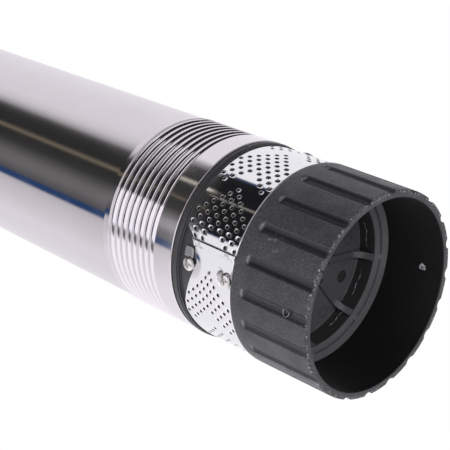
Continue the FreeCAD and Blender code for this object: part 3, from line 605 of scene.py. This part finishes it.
bell_plastic = plastic("bell_plastic", (0.007, 0.007, 0.009), (0.082, 0.082, 0.091), 0.38, 0.58,
                       1.0, 1700)
bell_wear_and_painted_light(bell_plastic, (0.0021, -0.0486, 0.0285))
dress(bell, bell_plastic, "black_plastic", "foot_bell")


def curl(place, reach, thickness, phase):
    """Drill's burr: a ring of round section whose radius and lift waver three and two times round."""
    turn = np.linspace(0, tau, 40, endpoint=False)[:, None]
    section = np.linspace(0, tau, 8, endpoint=False)
    own = thickness * (1 + 0.5 * np.sin(2 * turn + 2 * phase))
    r = reach * (1 + 0.16 * np.sin(3 * turn + phase)) + own * np.cos(section)
    lift = 0.3 * thickness * np.sin(2 * turn + phase) + own * np.sin(section)
    return carried(around(r, turn, lift), place)


burrs = skin("drain_burrs", [
    curl(drain_place(mouth_bore - 0.0001), 0.00125, 0.00045, 0.4),
    curl(drain_place(mouth_bore + 0.001), 0.00125, 0.00045, 2.0),
    curl(drain_place(mouth_radius - 0.0002, drain_azimuth + 180), 0.00162, 0.00018, 1.0),
])
burr_plastic = plastic("burr_plastic", (0.1, 0.1, 0.11), (0.34, 0.34, 0.36), 0.35, 0.5, 0.5)
dress(burrs, burr_plastic, "black_plastic")


# Intake end plate. A dished disc of dark plastic pressed up against the bell's web, with a conical
# ring round it and eight ribs that run out over the disc, climb the recess wall and cross the ring.

plate_floor = 0.0435
plate_lip = 0.0345
plate_floor_radius = 0.0369
plate_lip_radius = 0.0379
plate_rim_radius = 0.0444
plate_slope = 0.46
plate_wall = 0.0022
slot_radius = 0.0403
slot_width = 0.0009
slot_end = slot_radius + slot_width
slot_depth = 0.0013
rib_count = 8
rib_phase = 20
rib_width = 0.0032
rib_height = 0.0015
rib_start = 0.014
rib_bend = 0.0295
rib_run = 0.0068
rib_skirt = 0.0022
mark_radius = 0.0031
mark_reach = 0.0284
mark_azimuth = 87
mark_depth = 0.0008
ejector_pins = ((49, 0.0285), (124, 0.0311))
pin_radius = 0.0025


def plate_face(radius):
    """Height of the conical ring's face at a radius."""
    return plate_lip - plate_slope * (radius - plate_lip_radius)


def plate_rib(turn):
    """Bar whose top line runs level, climbs a quarter ellipse to the lip and follows the ring's slope,
    with a rounded box as its section."""
    climb = np.linspace(0, np.pi / 2, 22)
    top = plate_floor - rib_height
    level = np.column_stack([np.linspace(rib_start, rib_bend, 8), np.full(8, top)])
    rise = np.column_stack([rib_bend + rib_run * np.sin(climb),
                            top - (top - plate_lip + 0.0009) * (1 - np.cos(climb))])
    tip = np.linspace(plate_lip_radius, slot_end + 0.0004, 6)
    ledge = np.column_stack([tip, plate_face(tip) - 0.00015])
    line = np.concatenate([level, rise[1:], ledge])
    half = rib_width / 2
    side = np.array([-1.08, -1.0, -0.94, -0.82, -0.4, 0.0, 0.4, 0.82, 0.94, 1.0, 1.08]) * half
    drop = np.array([1.0, 0.14, 0.05, 0.01, 0.0, 0.0, 0.0, 0.01, 0.05, 0.14, 1.0]) * rib_skirt
    r = line[:, :1]
    x = r * np.cos(turn) - side * np.sin(turn)
    y = r * np.sin(turn) + side * np.cos(turn)
    return np.stack([x, y, line[:, 1:] + drop], axis=-1)[:, ::-1]


plate_profile = outline([
    (0.0002, plate_floor, 0),
    (plate_floor_radius, plate_floor, 0.0006),
    (plate_lip_radius, plate_lip, 0.0004),
    (slot_radius, plate_face(slot_radius), 0.00015),
    (slot_radius, plate_face(slot_radius) + slot_depth, 0.0001),
    (slot_end, plate_face(slot_end) + slot_depth, 0.0001),
    (slot_end, plate_face(slot_end), 0.00015),
    (plate_rim_radius, plate_face(plate_rim_radius), 0.0004),
    (plate_rim_radius, plate_face(plate_rim_radius) + plate_wall, 0.0003),
    (plate_lip_radius + plate_wall, plate_lip + plate_wall, 0.001),
    (plate_floor_radius + plate_wall, cup_depth, 0.0005),
    (0.0002, cup_depth, 0),
])
plate = skin("end_plate_skin", [turned(held(plate_profile))])
mark_place = spot(mark_azimuth, mark_reach, plate_floor)
pierce(plate, cutter(mark_radius, 2 * mark_depth, mark_place))
rib_turns = [radians(rib_phase + 360 * k / rib_count) for k in range(rib_count)]
ribs = skin("end_plate_ribs", [plate_rib(turn) for turn in rib_turns], (False, False))


def shade_plate(material):
    """The recess wall is painted near black as painted shade, and the sunk roundel is coloured darker. Two
    ejector pins left rings, where the distance from a pin's place is near its radius."""
    where = seen_from(material, mark_place.translation)
    wall = product(rising(where["Radius"], plate_floor_radius - 0.0003, plate_floor_radius),
                   rising(where["Height"], plate_lip + 0.0003, plate_lip + 0.0008))
    # painted shade: the recess wall is painted near black
    overlay(material, wall, (0.022, 0.022, 0.024), 0.3)
    sunk = product(falling(where["Distance"], mark_radius + 0.00015, mark_radius + 0.0003),
                   rising(where["Height"], plate_floor + 0.0001, plate_floor + 0.0003))
    overlay(material, sunk, (0.03, 0.03, 0.032), 0.5)
    for azimuth, reach in ejector_pins:
        away = seen_from(material, spot(azimuth, reach, plate_floor).translation)["Distance"]
        off = maths("ABSOLUTE", maths("SUBTRACT", away, pin_radius))
        overlay(material, falling(off, 0.0001, 0.0003, 0.8), (0.03, 0.03, 0.032), 0.4)


plate_plastic = plastic("plate_plastic", (0.075, 0.075, 0.08), (0.13, 0.13, 0.138), 0.4, 0.55, 0.35)
shade_plate(plate_plastic)
dress(plate, plate_plastic, "plate_plastic", "intake_end_plate")
rib_plastic = plastic("rib_plastic", (0.08, 0.08, 0.086), (0.125, 0.125, 0.134), 0.26, 0.38, 0.12)
dress(ribs, rib_plastic, "plate_plastic")


def flash_line(first, last, level, phase):
    """Flash on the recess wall between two azimuths, its height wavering by two sines."""
    angle = np.radians(np.linspace(first, last, 60))[:, None]
    share = np.linspace(0, 1, 60)[:, None]
    side = np.array([-1.0, 0.0, 1.0])
    width = 0.00011 * np.sin(np.pi * share) ** 0.5 * (1.2 + np.sin(19 * share + phase))
    z = level + 0.00028 * np.sin(11 * share + phase) + 0.00016 * np.sin(31 * share) + side * width
    slope = (plate_lip_radius - plate_floor_radius) / (plate_floor - plate_lip)
    r = plate_lip_radius - (z - plate_lip) * slope - 0.00003 - 0.00008 * (1 - side ** 2)
    return around(r, angle, z)


flash_lines = ((38, 59, 0.0396, 0.3), (76, 97, 0.04, 1.7), (108, 127, 0.0398, 2.9))
flash = skin("end_plate_flash", [flash_line(*line) for line in flash_lines], (False, False))
# the flash is real; its pale colour is a painted highlight for the glints along it
flash_plastic_painted_glint = plastic("flash_plastic_painted_glint", (0.16, 0.16, 0.17), (0.42, 0.42, 0.44), 0.25, 0.4, 0.2)
dress(flash, flash_plastic_painted_glint, "plate_plastic")


# Strainer. A sheet of thin mirror-bright stainless steel, punched in arrow-shaped patches of small
# holes, bent round the two collars till its ends butt, and held by three screws in each collar.

strainer_low, strainer_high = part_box("strainer")
sheet = 0.0007
strainer_radius = strainer_high.x
column_angle = 3.5
row_step = 0.0058
border_step = row_step / 4
hole_radius = 0.0008
rim_radius = 0.00103
rim_dip = 0.00006
rim_border = 0.00008
patch_kept = (1, 2, 3, 4, 5, 6, 5, 6, 4, 4, 2)
patch_whole = (1, 2, 3, 4, 5, 6, 5, 6, 5, 6, 5)
patch_period = 38.5
main_patches = 5
main_start = 87
late_patches = (245.5, 207, 168.5, 130)
seam_azimuth = -100
seam_gap = 0.45
strainer_middle = (strainer_low.z + strainer_high.z) / 2
dip_foot = 0.055
screw_azimuths = (-114.5, 5.5, 125.5)
screw_heights = (strainer_high.z - 0.0063, strainer_low.z + 0.0034)
dimple_depth = 0.00035
dimple_spread = 0.0028


def patch_columns():
    """Every hole's azimuth along the unrolled sheet and height, column by column."""
    starts = [main_start - patch_period * k for k in range(main_patches)]
    found = []
    for start in starts + list(late_patches):
        for column, (kept, whole) in enumerate(zip(patch_kept, patch_whole)):
            heights = (np.arange(whole) - (whole - 1) / 2) * row_step
            if kept < whole:
                heights = np.concatenate([heights[:kept // 2], heights[-(kept // 2):]])
            found += [(start - column * column_angle, strainer_middle + height) for height in heights]
    return np.array(found)


def sheet_columns():
    """Edges of the sheet's columns, from one side of the seam round to the other."""
    half = column_angle / 2
    reach = (len(patch_kept) - 1) * column_angle
    main_low = main_start - (main_patches - 1) * patch_period - reach - half
    main = np.arange(main_low, main_start + half + 0.01, column_angle)
    late = np.arange(late_patches[-1] - reach - half, late_patches[0] + half + 0.01, column_angle)
    start = np.linspace(seam_azimuth + seam_gap / 2, main[0], 2)[:-1]
    bridge = np.linspace(main[-1], late[0], 3)[1:-1]
    end = np.linspace(late[-1], seam_azimuth + 360 - seam_gap / 2, 5)[1:]
    return np.concatenate([start, main, bridge, late, end])


def edge_dip(azimuth):
    """How far the sheet's upper edge is drawn down by the seam, in straight stretches."""
    off = (azimuth + 180) % 360 - 180
    return np.interp(off, [-146, -139, -124, -112, -103, -98, -95],
                     [0, 0.0013, 0.0065, 0.0108, 0.0077, 0.0042, 0])


def bent(azimuth, z, depth=0.0):
    """Place on the bent sheet at a depth, drawn down above the dip's foot."""
    top = strainer_high.z
    z = z - edge_dip(azimuth) * np.clip((z - dip_foot) / (top - dip_foot), 0, 1)
    r = strainer_radius - depth - screw_dimples(azimuth, z)
    return around(r, np.radians(azimuth), z)


def screw_dimples(azimuth, z):
    """How far the sheet is drawn in round the screws: a bell curve of the distance."""
    dip = 0
    for place in screw_azimuths:
        off = (azimuth - place + 180) % 360 - 180
        across = np.radians(off) * strainer_radius
        for height in screw_heights:
            square = across ** 2 + (z - height) ** 2
            dip = dip + dimple_depth * np.exp(-square / (2 * dimple_spread ** 2))
    return dip


def hole_cells(holes, edges):
    """Cells with a hole: border points, a ring halfway in, a flat ring, the rim and the drawn edge."""
    column = np.searchsorted(edges, holes[:, 0]) - 1
    low = edges[column][:, None]
    high = edges[column + 1][:, None]
    side = np.array([-1, -0.5, 0, 0.5, 1, 1, 1, 1, 1, 0.5, 0, -0.5, -1, -1, -1, -1])
    rise = np.roll(side, 4)
    border_a = (low + high) / 2 + side * (high - low) / 2
    border_z = np.clip(holes[:, 1:] + rise * row_step / 2, strainer_low.z, strainer_high.z)
    angle = np.arctan2(rise, side)
    rings = []
    flat_radius = rim_radius + rim_border
    for radius, depth in ((flat_radius, 0.0), (rim_radius, rim_dip / 3), (hole_radius, rim_dip)):
        a = holes[:, :1] + np.degrees(radius * np.cos(angle) / strainer_radius)
        z = holes[:, 1:] + radius * np.sin(angle)
        if not rings:
            rings = [bent(border_a, border_z), bent((border_a + a) / 2, (border_z + z) / 2)]
        rings.append(bent(a, z, depth))
    return np.stack(rings, axis=2)


def plain_cells(holes, edges):
    """Cells without a hole: four by four faces between the same border points."""
    levels = np.arange(-12, 13) * border_step + strainer_middle
    levels = np.unique(np.round(np.clip(levels, strainer_low.z, strainer_high.z), 7))
    middles = (levels[:-1] + levels[1:]) / 2
    cells = []
    for low, high in zip(edges[:-1], edges[1:]):
        own = holes[(holes[:, 0] > low) & (holes[:, 0] < high), 1]
        free = (np.abs(middles[:, None] - own) > row_step / 2).all(axis=1)
        for k in np.flatnonzero(free):
            a, z = np.meshgrid(np.linspace(low, high, 5), levels[k:k + 2], indexing="ij")
            cells.append(bent(a, z))
    return cells


holes = patch_columns()
edges = sheet_columns()
cells = bmesh.new()
for part in (skin("strainer_hole_cells", hole_cells(holes, edges), (True, False), 60),
             skin("strainer_plain_cells", plain_cells(holes, edges), (False, False), 60)):
    cells.from_mesh(part.data)
    bpy.data.objects.remove(part)
strainer = smooth_piece("strainer_skin", cells, "pump_body", 6e-6)
thick = strainer.modifiers.new("sheet", "SOLIDIFY")
thick.thickness = sheet
thick.offset = -1
thick.material_offset_rim = 1
strainer_steel = metal("strainer_mirror_steel", (0.86, 0.85, 0.87), 0.03, 0.06, 7000, 50, 0.012)
dress(strainer, strainer_steel, "strainer_steel", "strainer")
burr_steel = metal("punch_burr_steel", (0.8, 0.79, 0.8), 0.22, 0.34, 9000, 900, 0.05)
# painted shade: the punched hole walls are near-black steel, standing in for shade in the holes; the same
# material draws the real scratches
hole_shade_and_scratches = new_material("hole_shade_and_scratch_steel", (0.02, 0.02, 0.021), 0.6, 0.55)
edge_blotch = use_group(hole_shade_and_scratches, turning_marks)["Blotch"]
fill(shader_of(hole_shade_and_scratches), roughness=between(edge_blotch, 0.45, 0.7))
strainer.data.materials.append(burr_steel)
strainer.data.materials.append(hole_shade_and_scratches)


def near_holes(mesh):
    """1 for each face whose middle is within the rim's radius of a hole, else 0."""
    middles = np.empty(3 * len(mesh.polygons))
    mesh.polygons.foreach_get("center", middles)
    middles = middles.reshape(-1, 3)
    spots = bent(holes[:, 0], holes[:, 1])
    squares = (middles ** 2).sum(axis=1)[:, None] + (spots ** 2).sum(axis=1) - 2 * middles @ spots.T
    return (squares.min(axis=1) < rim_radius ** 2).astype(np.int32)


strainer.data.polygons.foreach_set("material_index", near_holes(strainer.data))
tongue_azimuth = -108
tongue_width = 3.3
tongue_half = 0.0029
tongue_middle = 0.0728
tongue_rise = 0.0009
scratch_lift = 0.00004


def tongue_grid():
    """Tongue of the sheet beside the upper screw, raised by the square root of the distance from its
    border up to a flat top."""
    across = np.linspace(-1, 1, 31)[:, None]
    along = np.linspace(-1, 1, 31)
    rise = np.minimum((1 - np.abs(across)) / 0.16, (1 - np.abs(along)) / 0.14)
    angle = np.radians(tongue_azimuth + tongue_width * across)
    half = tongue_half * np.sqrt(1 - 0.8 * np.clip((across - 0.3) / 0.7, 0, 1) ** 2)
    r = collar_radius - 0.0001 + tongue_rise * np.sqrt(np.clip(rise, 0, 1))
    return around(r, angle, tongue_middle + half * along)


def scratch_line(start, end, bow, width):
    """Scratch between two places (azimuth, height): a sliver that bows out like a sine."""
    share = np.linspace(0, 1, 24)[:, None]
    side = np.array([-1.0, 1.0])
    swell = np.sin(np.pi * share)
    azimuth = start[0] + (end[0] - start[0]) * share + bow * swell
    z = start[1] + (end[1] - start[1]) * share + side * width * swell
    return bent(azimuth, z, -scratch_lift)


tongue = skin("strainer_tongue", [tongue_grid()], (False, False), 50)
# painted reflection: the tongue is the sheet's steel coloured darker, standing in for the dark reflection
# it shows
dress(tongue, metal("tongue_steel_painted_dark", (0.42, 0.42, 0.43), 0.16, 0.26, 7000, 90, 0.05), "strainer_steel")
scratches = skin("strainer_scratches", [
    scratch_line((-112, 0.0502), (-109.4, 0.054), 1.4, 0.00016),
    scratch_line((-111.2, 0.05), (-110, 0.052), -0.8, 0.00012),
    scratch_line((-117.5, 0.0522), (-115.2, 0.0535), 0.6, 0.00018)], (False, False))
dress(scratches, hole_shade_and_scratches, "strainer_steel")


# Strainer screws. Pan-head screws of bright steel with a cross recess, driven through the sheet
# into the two collars, three in each.

screw_seat = strainer_radius - 0.0002
screw_head = 0.0033
screw_rise = 0.0018
recess_reach = 0.0018
recess_width = 0.0008
recess_depth = 0.001
head_edge = 0.0006
recess_turn = radians(25)


def screw_grid():
    """Head as a height over polar coordinates: a dome less a cross of two bars, with a straight edge
    that turns in under it."""
    skirt = [screw_head, 0.0019]
    r = np.concatenate([np.linspace(0, 0.0022, 30), np.linspace(0.0024, screw_head, 9), skirt])
    angle = np.linspace(0, tau, 72, endpoint=False)[:, None]
    x = r * np.cos(angle)
    y = r * np.sin(angle)
    u = np.abs(x * np.cos(recess_turn) + y * np.sin(recess_turn))
    v = np.abs(y * np.cos(recess_turn) - x * np.sin(recess_turn))
    inside = np.clip((recess_width / 2 - np.minimum(u, v)) / 0.0001, 0, 1)
    cross = inside * np.clip((recess_reach - np.maximum(u, v)) / 0.0004, 0, 1)
    dome = np.sqrt(np.clip(1 - (r / screw_head) ** 2.6, 0, 1))
    height = head_edge + (screw_rise - head_edge) * dome - recess_depth * cross
    height[:, -2:] = (0.0, -0.0002)
    return np.stack([x, y, height], axis=-1)[:, ::-1]


def placed_screws():
    """The screw's grid in its six places, looking out along the radius."""
    grids = []
    for angle in np.radians(screw_azimuths):
        out = around(1, angle, 0)
        axes = np.stack([(-np.sin(angle), np.cos(angle), 0), (0, 0, 1), out])
        grids += [screw_grid() @ axes + out * screw_seat + (0, 0, height) for height in screw_heights]
    return grids


screws = skin("strainer_screw_heads", placed_screws(), (True, False))
screw_steel = metal("screw_steel", (0.74, 0.72, 0.7), 0.12, 0.3, 4000, 900, 0.15)
dress(screws, screw_steel, "screw_steel", "strainer_screws")


# Discharge head, its gland and the check valve, and the hidden pieces inside the shell. All but the
# outlet's thread and the valve's coil are the construction's own solids, in their real finishes.


def rough_metal(name, colour, rough_low, rough_high, grain, strength):
    """Cast, sintered or sheet metal, cloudy and grained."""
    made = new_material(name, colour, 1.0, rough_low)
    grains = use_group(made, spark_texture, grain=grain)
    tone = mixed(between(grains["Rub"], 0.0, 1.0), (*[c * 0.72 for c in colour], 1), (*colour, 1))
    return surfaced(made, tone, between(grains["Rub"], rough_low, rough_high), grains["Height"], strength)


finish_rows = (
    (rough_metal, "cast_head_steel", ((0.62, 0.6, 0.57), 0.28, 0.42, 1500, 0.25),
     "discharge_head motor_clamp"),
    (metal, "gland_brass", ((0.8, 0.62, 0.34), 0.14, 0.28), "cable_gland_body cable_gland_nut"),
    (plastic, "gland_rubber", ((0.012, 0.012, 0.012), (0.03, 0.03, 0.03), 0.55, 0.75),
     "cable_grommet suction_seal_ring housing_seal_ring cover_seal_ring head_seal_ring cover_inlet"),
    (rough_metal, "valve_bronze", ((0.66, 0.47, 0.26), 0.25, 0.4, 2500, 0.1),
     "valve_seat lower_bearing_bush upper_bearing_bush"),
    (metal, "spring_steel", ((0.62, 0.61, 0.6), 0.2, 0.35), "seal_spring"),
    (plastic, "valve_plastic", ((0.055, 0.055, 0.06), (0.09, 0.09, 0.095), 0.3, 0.45, 0.1),
     "valve_guide valve_poppet capacitor_tray"),
    (plastic, "stage_plastic", ((0.1, 0.1, 0.105), (0.16, 0.16, 0.17), 0.35, 0.5, 0.12),
     "diffuser_1 diffuser_2 diffuser_3 start_capacitor thermal_protector"),
    (plastic, "impeller_plastic", ((0.55, 0.53, 0.46), (0.66, 0.64, 0.57), 0.35, 0.5, 0.1),
     "impeller_1 impeller_2 impeller_3"),
    (metal, "wear_ring_steel", ((0.66, 0.65, 0.64), 0.2, 0.34),
     "neck_ring_1 neck_ring_2 neck_ring_3 impeller_spacers impeller_washer seal_collar thrust_collar"),
    (metal, "shaft_steel", ((0.7, 0.69, 0.68), 0.12, 0.24), "shaft shaft_key impeller_nut"),
    (rough_metal, "cast_iron", ((0.22, 0.21, 0.2), 0.5, 0.7, 1300, 0.35),
     "seal_housing upper_bracket can_top_cover"),
    (plastic, "seal_ceramic", ((0.62, 0.6, 0.56), (0.72, 0.7, 0.66), 0.2, 0.3, 0.03),
     "seal_seat thrust_washer"),
    (plastic, "seal_carbon", ((0.02, 0.02, 0.022), (0.04, 0.04, 0.042), 0.3, 0.45, 0.05), "seal_ring"),
    (metal, "motor_can_steel", ((0.6, 0.59, 0.58), 0.2, 0.35), "motor_can"),
    (rough_metal, "core_steel", ((0.3, 0.3, 0.31), 0.4, 0.6, 3000, 0.2), "stator_core rotor_core"),
    (rough_metal, "winding_copper", ((0.72, 0.32, 0.16), 0.25, 0.45, 900, 0.4), "stator_winding"),
    (rough_metal, "end_ring_aluminium", ((0.68, 0.69, 0.7), 0.35, 0.5, 1800, 0.2),
     "rotor_end_rings"),
)
finishes = {}
for finish, name, values, nodes in finish_rows:
    finishes[name] = finish(name, *values)
    for label in nodes.split():
        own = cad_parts[label].data.materials
        own.clear()
        own.append(finishes[name])

thread_pitch = 0.002309
thread_crest = 0.01515
thread_root = 0.01652
thread_turns = 7


def thread_rings():
    """Outlet's thread: ridges between crest and root, with flats of a sixth of the pitch, and a back."""
    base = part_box("discharge_head")[1].z - 0.0185
    r = np.tile([thread_root, thread_root, thread_crest, thread_crest], thread_turns)
    steps = np.arange(thread_turns)[:, None] * thread_pitch
    z = (base + steps + np.array([0, 1 / 6, 1 / 2, 2 / 3]) * thread_pitch).ravel()
    top = z[-1] + thread_pitch / 3
    back = thread_root + 0.00004
    return np.concatenate([np.column_stack([r, z]), [(thread_root, top), (back, top), (back, z[0])]])[::-1]


thread = skin("outlet_thread", [turned(thread_rings(), 96)])
dress(thread, finishes["cast_head_steel"], "cast_steel")
wire = 0.0012


def spring_coil(low, high, reach, turns):
    """Round wire on a helix that climbs evenly with the angle, its ends capped flat."""
    share = np.concatenate([[0], np.linspace(0.0, 1.0, 36 * turns + 1), [1]])[:, None]
    own = wire / 2 * np.ones_like(share)
    own[[0, -1]] = 0
    angle = tau * turns * share
    section = -np.linspace(0, tau, 14, endpoint=False)
    r = reach + own * np.cos(section)
    z = low + wire / 2 + (high - low - wire) * share + own * np.sin(section)
    return around(r, angle, z)


spring_low, spring_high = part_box("valve_spring")
coil = spring_coil(spring_low.z, spring_high.z, spring_high.x - wire / 2, 3)
spring = skin("valve_spring_coil", [coil], (False, True), 50, None)
dress(spring, finishes["spring_steel"], "spring_steel", "valve_spring")
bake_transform(spring)


# Floor. A plain pale studio table at the level of the bell's rim. It is clear to a view from below,
# because the picture is taken from under it.

floor_size = 4.0
floor_mesh = bpy.data.meshes.new("floor")
floor_corners = [(x * floor_size, y * floor_size, 0) for x, y in ((-1, -1), (1, -1), (1, 1), (-1, 1))]
floor_mesh.from_pydata(floor_corners, [], [(0, 1, 2, 3)])
floor = placed("floor", floor_mesh)
floor_paint = new_material("floor_paint", (0.86, 0.86, 0.87), 0.0, 0.8)
floor_tree = floor_paint.node_tree
from_above = maths("SUBTRACT", 1.0, node(floor_tree, "NewGeometry").outputs["Backfacing"])
to_camera = node(floor_tree, "LightPath").outputs["Is Camera Ray"]
floor_mix = node(floor_tree, "MixShader", fac=maths("MULTIPLY", from_above, to_camera))
feed(floor_mix.inputs[1], node(floor_tree, "BsdfTransparent").outputs[0])
feed(floor_mix.inputs[2], shader_of(floor_paint).outputs[0])
fill(floor_tree.nodes["Material Output"], surface=floor_mix.outputs[0])
floor_mesh.materials.append(floor_paint)
floor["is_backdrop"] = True


# Studio. A white room, soft lamps above and below the table, and a dome of white and black cards
# that only reflections see, as a photographer sets them round a bright tube.

world = bpy.data.worlds.new("white_room")
bpy.context.scene.world = world
world.use_nodes = True
room = world.node_tree
room_path = node(room, "LightPath").outputs
shown = maths("MAXIMUM", room_path["Is Camera Ray"],
              maths("MAXIMUM", room_path["Is Glossy Ray"], room_path["Is Transmission Ray"]))
room_light = 0.32
fill(room.nodes["Background"], color=(1, 1, 1, 1), strength=between(shown, room_light, 1.0, 0.0, 1.0))

white = (0.97, 0.965, 1.0)
dome_radius = 3.0


def card_ring(name, low, high, stops, gain=1.0):
    """Part of a dome between two elevations; its glow goes by azimuth from stop to stop."""
    azimuth = np.radians(np.linspace(-180, 180, 181))[:, None]
    elevation = np.radians(np.linspace(low, high, 12))
    dome = around(dome_radius * np.cos(elevation), azimuth, dome_radius * np.sin(elevation))
    made = skin(name, [dome], (False, False), body=None)
    made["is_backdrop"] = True
    made.visible_camera = made.visible_diffuse = made.visible_shadow = False
    card = bpy.data.materials.new(name)
    card.use_nodes = True
    tree = card.node_tree
    tree.nodes.remove(shader_of(card))
    split = node(tree, "SeparateXYZ", vector=node(tree, "TexCoord").outputs["Object"]).outputs
    turn = maths("ARCTAN2", split["Y"], split["X"])
    ramp = node(tree, "ValToRGB", fac=between(turn, 0.0, 1.0, -np.pi, np.pi))
    elements = ramp.color_ramp.elements
    for k, (place, colour) in enumerate(stops):
        position = (place + 180) / 360
        element = elements[k] if k < 2 else elements.new(position)
        element.position = position
        element.color = (*colour, 1)
    glow = node(tree, "Emission", strength=gain, color=ramp.outputs["Color"])
    fill(tree.nodes["Material Output"], surface=glow.outputs[0])
    made.data.materials.append(card)


def bands(*stretches):
    """Colour stops of plain stretches (from, to, colour) with narrow soft borders."""
    stops = []
    for low, high, colour in stretches:
        stops += [(low + 0.4, colour), (high - 0.4, colour)]
    return stops


def shades(*pairs):
    """Colour stops of (azimuth, tone), slightly violet where pale."""
    return [(azimuth, (tone, tone * (1 - 0.037 * tone), tone * (1 + 0.025 * tone)))
            for azimuth, tone in pairs]


black = (0.012, 0.012, 0.014)
navy = (0.03, 0.045, 0.1)
blue = (0.02, 0.056, 0.16)
tan = (0.19, 0.16, 0.12)
cream = (0.75, 0.71, 0.62)
card_ring("cards_below", -90, -12, shades(
    (-180, 0.95), (-110, 0.8), (-60, 0.55), (-10, 0.5), (50, 0.8), (120, 0.95), (180, 0.95)))
for name, low, high, strip, middle in (
        ("cards_low", -12, 6, 0.3, ((-93, 0.97), (-91, 0.02))),
        ("cards_low_strip", 6, 17, 0.12, ((-30, 0.9), (-27, 0.02))),
        ("cards_under_strainer", 17, 38, 0.12, ((-93, 0.97), (-91, 0.02)))):
    card_ring(name, low, high, shades(
        (-180, 0.97), (-141, 0.97), (-137, strip), (-130, strip), (-127, 0.97), *middle, (45, 0.02),
        (52, 0.97), (180, 0.97)), 1.22)
card_ring("cards_for_strainer", 38, 43.05, bands(
    (-180, -101, white), (-101, -99, navy), (-99, -60.2, black), (-60.2, -59.2, cream), (-59.2, -30, black),
    (-30, -27, navy), (-27, 180, white)))
card_ring("cards_for_band", 43.05, 46, shades((-180, 0.95), (-160, 0.84), (-140, 0.7), (-135.5, 0.6))
          + bands((-134.5, -127.5, blue))
          + shades((-125, 0.12), (-118, 0.17), (-110, 0.39), (-100, 0.22), (-90, 0.06), (-78, 0.045))
          + bands((-77, -75.5, tan)) + shades((-74, 0.05), (-57, 0.045)) + bands((-55, -53.5, cream))
          + shades((-51, 0.045), (-36, 0.06), (-29, 0.4), (-22, 0.95), (180, 0.97)))
card_ring("cards_for_tube", 46, 68, shades((-180, 0.86), (-162, 0.76), (-146, 0.68), (-135.5, 0.58))
          + bands((-134.5, -127.5, blue))
          + shades((-125, 0.1), (-114, 0.17), (-106, 0.16), (-98, 0.1), (-90, 0.045), (-78, 0.03))
          + bands((-75, -73.4, tan))
          + shades((-70, 0.03), (-57, 0.035), (-52, 0.05), (-48, 0.1), (-42, 0.45), (-35, 0.72),
                   (-24, 0.83), (30, 0.87), (180, 0.87)))
card_ring("cards_overhead", 68, 90, shades(
    (-180, 0.97), (-93, 0.97), (-91, 0.12), (-32, 0.1), (-28, 0.02), (45, 0.02), (52, 0.97), (180, 0.97)))


def lamp(name, place, size, power):
    """Round soft lamp that faces the middle of the lower part."""
    data = bpy.data.lights.new(name, "AREA")
    data.shape = "DISK"
    data.size = size
    data.energy = power
    made = placed(name, data)
    made.location = place
    made.rotation_euler = (Vector((0, 0, 0.1)) - made.location).to_track_quat("-Z", "Y").to_euler()
    made.visible_camera = made.visible_glossy = False


lamp("left_softbox", (-1.6, -1.1, -0.6), 1.0, 32)
lamp("upper_right_softbox", (1.6, 0.7, 1.0), 1.2, 46)
lamp("below_softbox", (0.6, -1.35, -1.15), 0.8, 15)


# Camera, below the level of the table and in front, as the picture was taken.

camera_place = (0, -0.444431, -0.293873)
camera_right = (0.39009028, 0.60905856, -0.69056299)
camera_up = (0.92076721, -0.26141706, 0.28956669)
camera_back = (-0.00416188, -0.74880491, -0.6627774)
camera_data = bpy.data.cameras.new("camera")
camera_data.lens = 96.95
camera_data.sensor_width = 36
camera = placed("camera", camera_data)
axes = Matrix((camera_right, camera_up, camera_back)).transposed()
camera.matrix_world = Matrix.Translation(camera_place) @ axes.to_4x4()
bpy.context.scene.camera = camera
bpy.context.scene.view_settings.view_transform = "Standard"

low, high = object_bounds()
